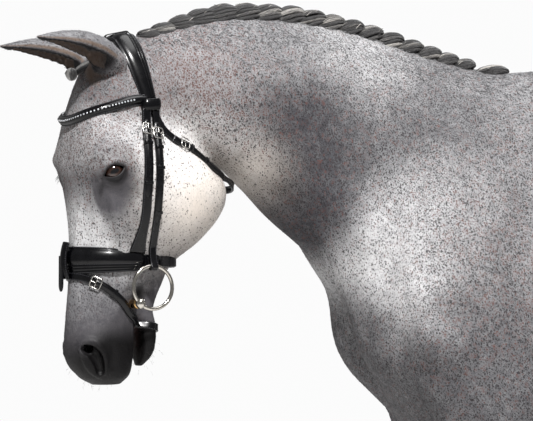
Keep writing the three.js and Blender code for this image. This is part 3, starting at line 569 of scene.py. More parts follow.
def smooth_path(path: Points, steps: int) -> list[tuple[float, ...]]:
    """A smooth line through the corners of a path.

    Args:
        path: its corners.
        steps: points in each stretch.

    Returns:
        Points along it, the corners included.
    """
    p = np.array(path, float)
    padded = np.vstack([2 * p[0] - p[1], p, 2 * p[-1] - p[-2]])
    line = []
    for i in range(1, len(padded) - 2):
        a, b, c, d = padded[i - 1: i + 3]
        for t in np.arange(steps) / steps:
            line.append(tuple(0.5 * (2 * b + (c - a) * t + (2 * a - 5 * b + 4 * c - d) * t**2
                                     + (3 * b - a - 3 * c + d) * t**3)))
    line.append(tuple(p[-1]))
    return line


# ---------------------------------------- meshes


def new_object(name: str, points: Array, faces: Iterable[Sequence[int]],
               smooth: bool = True) -> bpy.types.Object:
    """An object at the frame's origin, made from points and faces.

    Args:
        name: the piece's name.
        points: (n, 3) vertices in the frame.
        faces: index tuples.
        smooth: whether its faces are shaded smooth.

    Returns:
        The object, linked to the scene.
    """
    mesh = bpy.data.meshes.new(name)
    mesh.from_pydata([tuple(p) for p in np.asarray(points, float)], [],
                     [tuple(int(i) for i in f) for f in faces])
    mesh.validate()
    mesh.shade_smooth() if smooth else mesh.shade_flat()
    made = bpy.data.objects.new(name, mesh)
    bpy.context.scene.collection.objects.link(made)
    return made


def positions(thing: bpy.types.Object) -> Array:
    """(n, 3) vertices of an object's mesh."""
    values = np.empty(len(thing.data.vertices) * 3, np.float32)
    thing.data.vertices.foreach_get("co", values)
    return values.reshape(-1, 3).astype(float)


def move_to(thing: bpy.types.Object, points: Array) -> None:
    """Gives an object's mesh new vertex positions."""
    thing.data.vertices.foreach_set("co", np.asarray(points, np.float32).ravel())
    thing.data.update()


def note(thing: bpy.types.Object, name: str, values: Array) -> None:
    """Stores a number, or a vector, for each vertex of an object under a name that its material reads."""
    kind, key = ("FLOAT", "value") if values.ndim == 1 else ("FLOAT_VECTOR", "vector")
    layer = thing.data.attributes.new(name, kind, "POINT")
    layer.data.foreach_set(key, np.asarray(values, np.float32).ravel())


def apply_modifiers(thing: bpy.types.Object) -> None:
    """Turns an object with modifiers into a plain mesh."""
    mesh = bpy.data.meshes.new_from_object(thing.evaluated_get(bpy.context.evaluated_depsgraph_get()))
    thing.modifiers.clear()
    thing.data = mesh
    mesh.name = thing.name


# ---------------------------------------- flesh and skin


@dataclass
class Eye:
    """The right eyeball's place and the opening between its lids, in millimetres on the straight horse."""

    centre: tuple[float, float, float] = (-858, 78, 1446)
    radius: float = 19.5
    outward: tuple[float, float, float] = (-0.30, 0.95, 0.02)
    corner_line: tuple[float, float, float] = (0.86, 0.22, 0.42)  # from the front corner to the rear one
    half_length: float = 18.0
    upper: float = 0.56  # height of the upper lid's arch, as a share of the radius
    lower: float = 0.40

    def axes(self) -> tuple[Array, Array, Array]:
        """Unit vectors: outward, along the opening towards the rear, and across it upwards."""
        out = np.array(self.outward) / np.linalg.norm(self.outward)
        along = np.array(self.corner_line)
        along = along - (along @ out) * out
        along /= np.linalg.norm(along)
        across = np.cross(along, out)
        return out, along, across if across[2] > 0 else -across

    def lid_edge(self, height: float, swell: float, count: int = 9) -> list[tuple[float, ...]]:
        """Points along a lid's edge, from the front corner to the rear one.

        Args:
            height: of its arch, as a share of the radius; below 0 for the lower lid.
            swell: how far outside the eyeball it runs, in millimetres.
            count: how many points.

        Returns:
            x, y, z of each, in millimetres.
        """
        out, along, across = self.axes()
        points = []
        for t in np.linspace(-1, 1, count):
            a = t * self.half_length / self.radius
            h = height * (1 - t * t)
            d = out * math.sqrt(max(1 - a * a - h * h, 0.05)) + along * a + across * h
            points.append(tuple(np.array(self.centre) + d / np.linalg.norm(d) * (self.radius + swell)))
        return points


@dataclass
class Ear:
    """An ear: a long cup from the head to a fine tip, in millimetres on the straight horse's right side."""

    root: tuple[float, float, float] = (-830, 46, 1630)
    tip: tuple[float, float, float] = (-990, 76, 1669)
    length: float = 172
    mouth: tuple[float, float, float] = (-0.40, 0.04, -0.90)  # where the cup opens to
    widths: tuple[tuple[float, float], ...] = (
        (0, 21), (0.12, 28), (0.3, 35), (0.5, 33), (0.7, 24), (0.86, 13), (0.95, 6), (1, 2.4))

    def body(self, inner: bool) -> Body:
        """The ear's outside, or the hollow that is cut out of it, as vertices, quads and triangles."""
        root, tip = np.array(self.root), np.array(self.tip)
        along = (tip - root) / np.linalg.norm(tip - root)
        front = np.array(self.mouth)
        front = front - (front @ along) * along
        front /= np.linalg.norm(front)
        across = np.cross(along, front)
        stops, halves = zip(*self.widths)
        count, sides = 40, 36
        rings = []
        for t in np.linspace(0, 1, count):
            place = 0.17 + 0.77 * t if inner else t
            half = float(np.interp(place, stops, halves))
            half = half - 2.4 if inner else half
            bow = 9 * math.sin(math.pi * place) - 6 * place * place
            curl = 5 * math.sin(math.pi * min(place * 1.1, 1))
            middle = root + along * self.length * place - front * bow
            for a in np.linspace(0, 2 * math.pi, sides, endpoint=False):
                deep, wide = math.cos(a) * half * 0.72, math.sin(a) * half
                if inner:
                    closing = min(t / 0.15, (1 - t) / 0.1, 1.0)
                    deep, wide = math.cos(a) * half * 0.78, math.sin(a) * half * max(closing, 0.15) * 0.94
                    deep = deep * (1 if deep < 0 else 2.4) + 2.0
                rings.append(middle + front * (deep - curl * (math.sin(a) ** 2) * 0.5) + across * wide)
        return closed_rings(np.array(rings) * MM, sides)


# Ridges and grooves of the skin on each side: the line's corners x, z, its width and its height.
RIDGES = (
    (((-866, 1424), (-856, 1388), (-844, 1356), (-832, 1326), (-822, 1300)), 9, 5.0),  # facial crest
    (((-842, 1396), (-824, 1360), (-812, 1320)), 12, -2.0),
    (((-878, 1400), (-868, 1360), (-856, 1320)), 11, -2.0),
    (((-900, 1462), (-884, 1482), (-856, 1492), (-822, 1482)), 11, 4.0),  # brow
    (((-895, 1440), (-898, 1380), (-899, 1320), (-900, 1250)), 7, 1.6),  # edge of the nasal bone
    (((-886, 1330), (-888, 1290), (-888, 1250), (-889, 1205)), 10, -3.2),
    (((-806, 1300), (-822, 1262), (-836, 1224), (-846, 1190)), 12, 3.2),  # the cheek's front muscle
    (((-862, 1290), (-866, 1250), (-868, 1215)), 4, 1.4),  # a vein
    (((-868, 1350), (-856, 1318), (-846, 1290), (-838, 1262)), 3.2, 2.4),
    (((-800, 1240), (-810, 1230), (-824, 1216)), 5, -3.0),  # folds at the corner of the mouth
    (((-800, 1256), (-812, 1252), (-826, 1244)), 4, -1.8),
    (((-640, 1440), (-676, 1478), (-712, 1508), (-748, 1540)), 12, -5.5),  # rear edge of the jaw
    (((-612, 1436), (-602, 1462), (-600, 1492)), 5, -4.6),  # folds of the throat
    (((-600, 1428), (-588, 1456), (-584, 1486)), 4.6, -4.2),
    (((-586, 1420), (-573, 1446), (-568, 1478)), 4.6, -3.6),
    (((-572, 1412), (-558, 1440), (-551, 1468)), 4.6, -2.8),
    (((-640, 1650), (-560, 1660), (-470, 1660), (-390, 1640), (-300, 1612)), 15, -6.5),  # under the crest
    (((-575, 1450), (-510, 1392), (-462, 1340), (-430, 1280)), 17, -9.0),  # jugular groove
    (((-560, 1500), (-480, 1436), (-410, 1376), (-350, 1300)), 24, 6.0),
    (((-560, 1580), (-470, 1530), (-390, 1470), (-330, 1400)), 28, -7.0),
    (((-180, 1570), (-236, 1460), (-290, 1340), (-318, 1240)), 34, 9.0),  # shoulder's front edge
    (((-236, 1560), (-290, 1440), (-340, 1330), (-360, 1260)), 30, -8.0),
    (((-110, 1500), (-170, 1370), (-226, 1230)), 28, 4.5),  # spine of the shoulder blade
    (((-64, 1450), (-112, 1320), (-150, 1190)), 30, -5.0),
    (((-150, 1440), (-200, 1330), (-240, 1240)), 22, -4.0),
    (((-312, 1262), (-286, 1240), (-262, 1228)), 30, 9.0),
    (((-246, 1236), (-222, 1212), (-196, 1196)), 18, -8.0),
    (((-300, 1200), (-262, 1160), (-200, 1140)), 34, 9.0),  # point of the shoulder
    (((-300, 1130), (-262, 1106), (-216, 1092)), 28, -8.0),
    (((-340, 1240), (-326, 1180), (-318, 1120)), 18, -8.0),  # between the breast and the arm
    (((-130, 1090), (-60, 1030), (10, 985)), 24, 7.0),
    (((-20, 1130), (10, 1040), (0, 960)), 20, -8.0),
    (((60, 1010), (300, 960), (560, 985), (760, 1040)), 26, 3.0),
    (((850, 1520), (900, 1400), (930, 1260)), 24, -5.0),  # thigh's front edge
    (((1180, 1440), (1200, 1300), (1190, 1160)), 18, -4.5),
    (((-165, 560), (-165, 500)), 12, 2.5),
    (((-140, 450), (-138, 340), (-140, 250)), 5, 2.4),  # tendons
    (((-156, 450), (-154, 340), (-156, 250)), 4, -2.4),
    (((1218, 480), (1217, 340), (1216, 250)), 5, 2.4),
    (((1200, 450), (1200, 340), (1200, 250)), 4, -2.4),
)


@dataclass
class Flesh:
    """The living body: one skin over the head, neck, trunk, legs and ears."""

    pose: Pose
    coarse: float = 9.0
    fine: float = 2.7
    eye: Eye = field(default_factory=Eye)
    ear: Ear = field(default_factory=Ear)
    budget: int = 192000  # triangles
    BODY_VOXEL: float = 0.006
    HEAD_VOXEL: float = 0.003

    def build(self) -> bpy.types.Object:
        """Makes the skin, still straight; Flesh.settle later stores these positions as "straight".

        Returns:
            The skin's object; its vertices are on the straight horse until Flesh.settle is called.
        """
        volume = Volume(self.coarse, self.fine)
        self._bodies(volume)
        for swell in SWELLS:
            volume.swell(swell[0:3], swell[3:6], swell[6])
        for path, width, height in RIDGES:
            volume.ridge(volume.on_side(path), width, height)
        volume.values += np.float32(DEPTH)
        self._muzzle(volume)
        self._eye(volume)
        self._ear(volume)
        points, quads = volume.surface()
        skin = new_object("skin", points, quads)
        self._thin(skin)
        return skin

    def _bodies(self, volume: Volume) -> None:
        """Joins the trunk, neck, head, jaw and legs."""
        body, head = self.BODY_VOXEL, self.HEAD_VOXEL
        volume.join(loft(TRUNK, 72, 8), body, 0.0)
        volume.join(loft(NECK, 64, 8), body, 0.05)
        for rows in (FORELEG, HINDLEG):
            volume.join(loft(rows, 40, 8), body, 0.035)
        volume.join(loft(HEAD, 72, 8), head, 0.024)
        volume.join(loft(JAW, 48, 8), head, 0.010)

    def _muzzle(self, volume: Volume) -> None:
        """Opens the nostrils and the mouth and shapes the lips."""
        rim = volume.on_side(((-893, 1147), (-895, 1158), (-887, 1166), (-874, 1164), (-863, 1150),
                              (-856, 1132), (-856, 1114)), -1.5)
        volume.tube(rim, (2.5, 4.6, 2.5), 7)
        wing = volume.on_side(((-893, 1146), (-886, 1130), (-874, 1116), (-862, 1108)), -1.5)
        volume.tube(wing, (2.5, 3.6, 2.0), 6)
        hole = volume.on_side(((-888, 1153), (-881, 1150), (-873, 1141), (-866, 1128), (-862, 1117)), -3.0)
        volume.tube(hole, (7.5, 10.5, 7.0), 2.5, cut_out=True)
        inner = [(-884, hole[1][1] - 3, 1150), (-878, hole[1][1] - 14, 1160), (-874, 20, 1184)]
        volume.tube(inner, (7.5, 8, 6), 2.5, cut_out=True)
        volume.ridge(volume.on_side(((-846, 1166), (-842, 1140), (-842, 1114))), 7, -2.6)
        volume.slit(((-790, 1250), (-788, 1224), (-785, 1194), (-782.5, 1162), (-782.5, 1132), (-784, 1106),
                     (-780, 1076)), (-3.5, 0.4, 1.3), 3.0)
        volume.ridge(volume.on_side(((-797, 1232), (-799, 1200), (-799, 1150), (-802, 1116))), 5, 2.0)
        volume.ridge(volume.on_side(((-776, 1190), (-772, 1160), (-772, 1136))), 5, 1.6)
        volume.ridge(((-764, 0, 1145), (-760, 12, 1150), (-760, 22, 1160)), 12, 2.0)

    def _eye(self, volume: Volume) -> None:
        """Shapes the lids round the eyeball and opens them."""
        eye = self.eye
        out, along, across = eye.axes()
        centre = np.array(eye.centre) * MM
        radius = eye.radius * MM

        def lids(values: Array, x: Array, y: Array, z: Array) -> Array:
            """The distances round the eye, with the lids drawn over the ball and the opening cut."""
            dx, dy, dz = x - centre[0], y - centre[1], z - centre[2]
            far = np.sqrt(dx * dx + dy * dy + dz * dz)
            covered = soft_min(values, far - (radius + 0.0035), 0.012)
            forward = dx * out[0] + dy * out[1] + dz * out[2]
            side = dx * along[0] + dy * along[1] + dz * along[2]
            rise = dx * across[0] + dy * across[1] + dz * across[2]
            half = eye.half_length * MM
            arch = np.clip(1 - (side / half) ** 2, 0, 1)
            upper = rise - eye.upper * radius * arch
            lower = -rise - eye.lower * radius * arch
            opening = np.maximum(np.maximum(upper, lower), np.maximum(np.abs(side) - half, -forward))
            opened = -soft_min(-covered, opening, 0.0022)
            return np.maximum(opened, -(far - (radius + 0.0004))).astype(np.float32)

        volume.combine(eye.centre, 44, lids)
        volume.ridge(eye.lid_edge(eye.upper + 0.10, 4), 2.4, 1.6)
        volume.ridge(eye.lid_edge(eye.upper + 0.42, 5), 1.8, -2.0)
        volume.ridge(eye.lid_edge(-eye.lower - 0.34, 4), 1.8, -1.6)
        front = np.array(eye.lid_edge(0, 2)[0])
        volume.ridge((front + (8, 1, 3), front + (0, 0, -1), front + (-8, -4, -7)), 2.8, -2.2)

    def _ear(self, volume: Volume) -> None:
        """Joins the ear's cup to the head and hollows it."""
        volume.join(self.ear.body(False), 0.0018, 0.016)
        volume.cut_away(self.ear.body(True), 0.0018, 0.002)

    def _thin(self, skin: bpy.types.Object) -> None:
        """Reduces the skin to its triangle budget, keeping the head's finest places whole."""
        points = positions(skin)
        x, z = points[:, 0], points[:, 2]
        body = np.clip((x + 0.640) / 0.05, 0, 1)
        cheek = np.clip((z - 1.49) / 0.02, 0, 1) * np.clip((x + 0.83) / 0.02, 0, 1)
        cheek = np.maximum(cheek, np.clip((x + 0.80) / 0.03, 0, 1) * np.clip((z - 1.26) / 0.02, 0, 1))
        group = skin.vertex_groups.new(name="thin")
        weight = np.maximum(body, 0.5 * cheek)
        for level in (0.25, 0.5, 0.75, 1.0):
            chosen = np.nonzero((weight > level - 0.25) & (weight <= level))[0]
            group.add([int(i) for i in chosen], level, "REPLACE")
        triangles = 2 * len(skin.data.polygons)
        for target, held in ((1.5 * self.budget, True), (self.budget, False)):
            thin = skin.modifiers.new("thin", "DECIMATE")
            now = sum(len(face.vertices) - 2 for face in skin.data.polygons)
            thin.ratio = min(target / now, 1.0)
            thin.vertex_group = group.name if held else ""
            apply_modifiers(skin)
        skin.vertex_groups.clear()
        LOG.info("skin: %d faces from %d triangles", len(skin.data.polygons), triangles)

    def settle(self, skin: bpy.types.Object) -> None:
        """Moves the skin from the straight horse onto the frame."""
        points = positions(skin)
        note(skin, "straight", points)
        move_to(skin, self.pose.place(points))
        skin.data.shade_smooth()


# ---------------------------------------- materials


class Value:
    """A number in a material's graph. Arithmetic on it adds Math nodes."""

    def __init__(self, graph: "Graph", socket: bpy.types.NodeSocket) -> None:
        """Wraps a socket of a graph."""
        self.graph, self.socket = graph, socket

    def _with(self, operation: str, a: object, b: object = 0.0, c: object = 0.0) -> "Value":
        """A Math node on up to three numbers."""
        made = self.graph.node("ShaderNodeMath", {"operation": operation}, Value=a, Value_001=b, Value_002=c)
        return Value(self.graph, made.outputs[0])

    def __add__(self, other: object) -> "Value":
        """Sum."""
        return self._with("ADD", self, other)

    def __radd__(self, other: object) -> "Value":
        """Sum."""
        return self._with("ADD", other, self)

    def __sub__(self, other: object) -> "Value":
        """Difference."""
        return self._with("SUBTRACT", self, other)

    def __rsub__(self, other: object) -> "Value":
        """Difference, the other way round."""
        return self._with("SUBTRACT", other, self)

    def __pow__(self, other: object) -> "Value":
        """Power."""
        return self._with("POWER", self, other)

    def __mul__(self, other: object) -> "Value":
        """Product."""
        return self._with("MULTIPLY", self, other)

    def __rmul__(self, other: object) -> "Value":
        """Product."""
        return self._with("MULTIPLY", other, self)

    def most(self, other: object) -> "Value":
        """The larger of the two."""
        return self._with("MAXIMUM", self, other)

    def least(self, other: object) -> "Value":
        """The smaller of the two."""
        return self._with("MINIMUM", self, other)

    def step(self, low: object, high: object) -> "Value":
        """0 below low, 1 above high and a smooth rise between."""
        made = self.graph.node("ShaderNodeMapRange", {"interpolation_type": "SMOOTHSTEP"},
                               Value=self, From_Min=low, From_Max=high)
        return Value(self.graph, made.outputs[0])


class Graph:
    """The nodes of one material, ending in a Principled shader."""

    def __init__(self, name: str) -> None:
        """Starts an empty material."""
        self.material = bpy.data.materials.new(name)
        self.material.use_nodes = True
        self.tree = self.material.node_tree
        self.tree.nodes.clear()

    def node(self, kind: str, settings: dict[str, object] | None = None, **values: object) -> bpy.types.Node:
        """Adds a node.

        Args:
            kind: its type.
            settings: its own settings, which are made first.
            values: a value, a Value or a socket for each input, under its identifier with _ for a space.

        Returns:
            The node.
        """
        made = self.tree.nodes.new(kind)
        for key, value in (settings or {}).items():
            setattr(made, key, value)
        sockets = {s.identifier.replace(" ", "_"): s for s in made.inputs}
        for key, value in values.items():
            if isinstance(value, Value):
                value = value.socket
            if isinstance(value, bpy.types.NodeSocket):
                self.tree.links.new(value, sockets[key])
            else:
                sockets[key].default_value = value
        return made

    def number(self, name: str) -> Value:
        """A number that is stored on the piece for each vertex."""
        return Value(self, self.node("ShaderNodeAttribute", {"attribute_name": name}).outputs["Fac"])

    def vector(self, name: str) -> bpy.types.NodeSocket:
        """A vector that is stored on the piece for each vertex."""
        return self.node("ShaderNodeAttribute", {"attribute_name": name}).outputs["Vector"]

    def place(self) -> bpy.types.NodeSocket:
        """The position on the piece."""
        return self.node("ShaderNodeTexCoord").outputs["Object"]

    def scaled(self, vector: bpy.types.NodeSocket, x: float, y: float, z: float) -> bpy.types.NodeSocket:
        """A vector with each axis scaled by its own number."""
        return self.node("ShaderNodeVectorMath", {"operation": "MULTIPLY"}, Vector=vector,
                         Vector_001=(x, y, z)).outputs[0]

    def axes(self, vector: bpy.types.NodeSocket) -> tuple[Value, Value, Value]:
        """The three numbers of a vector."""
        split = self.node("ShaderNodeSeparateXYZ", None, Vector=vector)
        return tuple(Value(self, split.outputs[i]) for i in range(3))

    def joined(self, x: object, y: object, z: object) -> bpy.types.NodeSocket:
        """A vector of three numbers."""
        return self.node("ShaderNodeCombineXYZ", None, X=x, Y=y, Z=z).outputs[0]

    def noise(self, vector: bpy.types.NodeSocket, scale: float, detail: float = 2,
              rough: float = 0.5) -> Value:
        """Even noise from 0 to 1."""
        made = self.node("ShaderNodeTexNoise", None, Vector=vector, Scale=scale, Detail=detail,
                         Roughness=rough)
        return Value(self, made.outputs["Fac"])

    def cells(self, vector: bpy.types.NodeSocket, scale: float) -> tuple[Value, Value]:
        """Scattered cells.

        Returns:
            The distance to the nearest cell's middle, and a random number for each cell.
        """
        made = self.node("ShaderNodeTexVoronoi", {"feature": "F1"}, Vector=vector, Scale=scale)
        split = self.node("ShaderNodeSeparateColor", None, Color=made.outputs["Color"])
        return Value(self, made.outputs["Distance"]), Value(self, split.outputs[0])

    def mix(self, share: object, a: object, b: object) -> bpy.types.NodeSocket:
        """A colour between two."""
        made = self.node("ShaderNodeMix", {"data_type": "RGBA"}, Factor_Float=share, A_Color=a, B_Color=b)
        return next(s for s in made.outputs if s.identifier == "Result_Color")

    def blend(self, share: object, a: object, b: object) -> bpy.types.NodeSocket:
        """A vector between two."""
        made = self.node("ShaderNodeMix", {"data_type": "VECTOR"}, Factor_Float=share, A_Vector=a, B_Vector=b)
        return next(s for s in made.outputs if s.identifier == "Result_Vector")

    def bump(self, height: Value, depth: float, strength: float = 1.0) -> bpy.types.NodeSocket:
        """A normal raised by a height, whose 1 stands for depth metres."""
        return self.node("ShaderNodeBump", None, Height=height, Distance=depth, Strength=strength).outputs[0]

    def finish(self, **values: object) -> bpy.types.Material:
        """Adds the shader with the given inputs and returns the material."""
        shader = self.node("ShaderNodeBsdfPrincipled", None, **values)
        out = self.node("ShaderNodeOutputMaterial")
        self.tree.links.new(shader.outputs[0], out.inputs[0])
        return self.material


def rgb(red: int, green: int, blue: int) -> tuple[float, float, float, float]:
    """A colour from display values of 0 to 255."""
    return tuple(((c / 255 + 0.055) / 1.055) ** 2.4 if c > 10 else c / 255 / 12.92
                 for c in (red, green, blue)) + (1.0,)


def bell(points: Array, x: float, z: float, reach_x: float, reach_z: float) -> Array:
    """1 at a place seen from the side, falling smoothly to 0 round it; millimetres, on the straight horse."""
    return np.exp(-(((points[:, 0] / MM - x) / reach_x) ** 2) - ((points[:, 2] / MM - z) / reach_z) ** 2)


def ramp(values: Array, low: float, high: float) -> Array:
    """0 below low, 1 above high, smooth between."""
    t = np.clip((values - low) / (high - low), 0, 1)
    return t * t * (3 - 2 * t)


class Shade(Enum):
    """The even steps from the palest of the coat to its darkest."""

    WHITE = 0.0
    PALE = 0.2
    SILVER = 0.4
    GREY = 0.6
    SLATE = 0.8
    DARK = 1.0


# Each part of the body, its place and reach in millimetres of the straight horse, and the step chosen for it;
# some of these steps are painted shade or painted light, as noted at them.
TONES = (
    ("forehead", -896, 1505, 46, Shade.SILVER),
    # Painted shadow: the temple's dark step stands for the ear's shadow falling there; the pale strip in
    # front of it is a paler step.
    ("pale strip of the forehead", -912, 1592, 18, Shade.WHITE),
    ("temple", -872, 1588, 24, Shade.SLATE),
    # Partly painted shade: round the eye and below it the skin is darker, and the shade of the hollow under
    # the eye is painted in too.
    ("round the eye", -858, 1418, 36, Shade.DARK),
    ("face below the eye", -832, 1364, 28, Shade.SLATE),
    ("nose", -900, 1360, 50, Shade.PALE),
    ("nose under the noseband", -900, 1240, 40, Shade.GREY),
    ("muzzle", -895, 1170, 40, Shade.GREY),
    ("cheek", -710, 1400, 80, Shade.PALE),
    ("rear of the jaw", -740, 1478, 44, Shade.WHITE),
    ("edge of the jaw", -750, 1330, 36, Shade.GREY),
    ("ears", -925, 1655, 50, Shade.GREY),
    ("poll", -740, 1625, 70, Shade.GREY),
    ("top of the neck", -540, 1670, 70, Shade.GREY),
    # Partly painted shade: the middle and the lower edge of the neck are darker coat, with the shade under
    # the neck painted in too.
    ("middle of the neck", -480, 1520, 80, Shade.DARK),
    ("throat", -600, 1489, 44, Shade.GREY),
    # Partly painted shade, as for the middle of the neck.
    ("lower edge of the neck", -480, 1385, 60, Shade.DARK),
    ("neck before the withers", -340, 1650, 80, Shade.SILVER),
    ("neck before the shoulder", -370, 1530, 70, Shade.SLATE),
    # Partly painted light: the side of the breast is paler coat, with the light that falls on it painted in
    # too.
    ("side of the breast", -325, 1300, 76, Shade.PALE),
    ("top of the shoulder", -240, 1560, 70, Shade.SLATE),
    ("middle of the shoulder", -250, 1390, 90, Shade.SILVER),
    ("rear of the shoulder", -130, 1340, 120, Shade.GREY),
    ("upper arm", -150, 1190, 90, Shade.SLATE),
    ("forearm", -190, 1060, 90, Shade.SLATE),
    # Partly painted shade: the front of the breast is darker coat, with its shade painted in too.
    ("breast", -400, 1190, 50, Shade.SLATE),
    ("withers", -150, 1620, 70, Shade.GREY),
    ("barrel", 330, 1270, 300, Shade.GREY),
    ("belly", 450, 960, 160, Shade.SILVER),
    ("croup", 950, 1500, 260, Shade.SILVER),
    ("thigh", 1080, 1150, 160, Shade.SILVER),
    ("front legs", -200, 700, 160, Shade.GREY),
    ("hind legs", 1120, 700, 180, Shade.GREY),
)


# Where flecks stand thicker or, below 0, thinner; where they are rusty; and where the white is creamy: how
# much, x, z and the reach along x and along z in millimetres of the straight horse.
FLECKED = (
    (0.40, -690, 1620, 110, 90), (0.16, -460, 1560, 200, 110), (0.42, -170, 1360, 170, 230),
    (0.25, -300, 1640, 160, 60),
    (-0.42, -570, 1455, 60, 60), (-0.46, -705, 1390, 80, 110), (-0.10, -380, 1320, 90, 110),
    (0.30, -890, 1510, 60, 60),
    (-0.16, -870, 1330, 60, 110), (-0.4, -850, 1410, 30, 36), (-0.12, 500, 950, 500, 90),
    (0.10, 600, 1400, 500, 200),
    (-0.08, 1050, 1500, 200, 160),
)
RUSTY = ((0.75, -700, 1620, 130, 110), (0.6, -880, 1480, 90, 120), (0.25, -100, 1300, 220, 200))
CREAMY = ((0.9, -700, 1390, 90, 110), (0.4, -580, 1450, 60, 60), (0.4, 500, 880, 500, 60))


def blots(points: Array, base: float, places: Points) -> Array:
    """An even amount with more or less of it at the places of a table, at points of the straight horse."""
    amount = base
    for more, x, z, reach_x, reach_z in places:
        amount = amount + more * bell(points, x, z, reach_x, reach_z)
    return amount


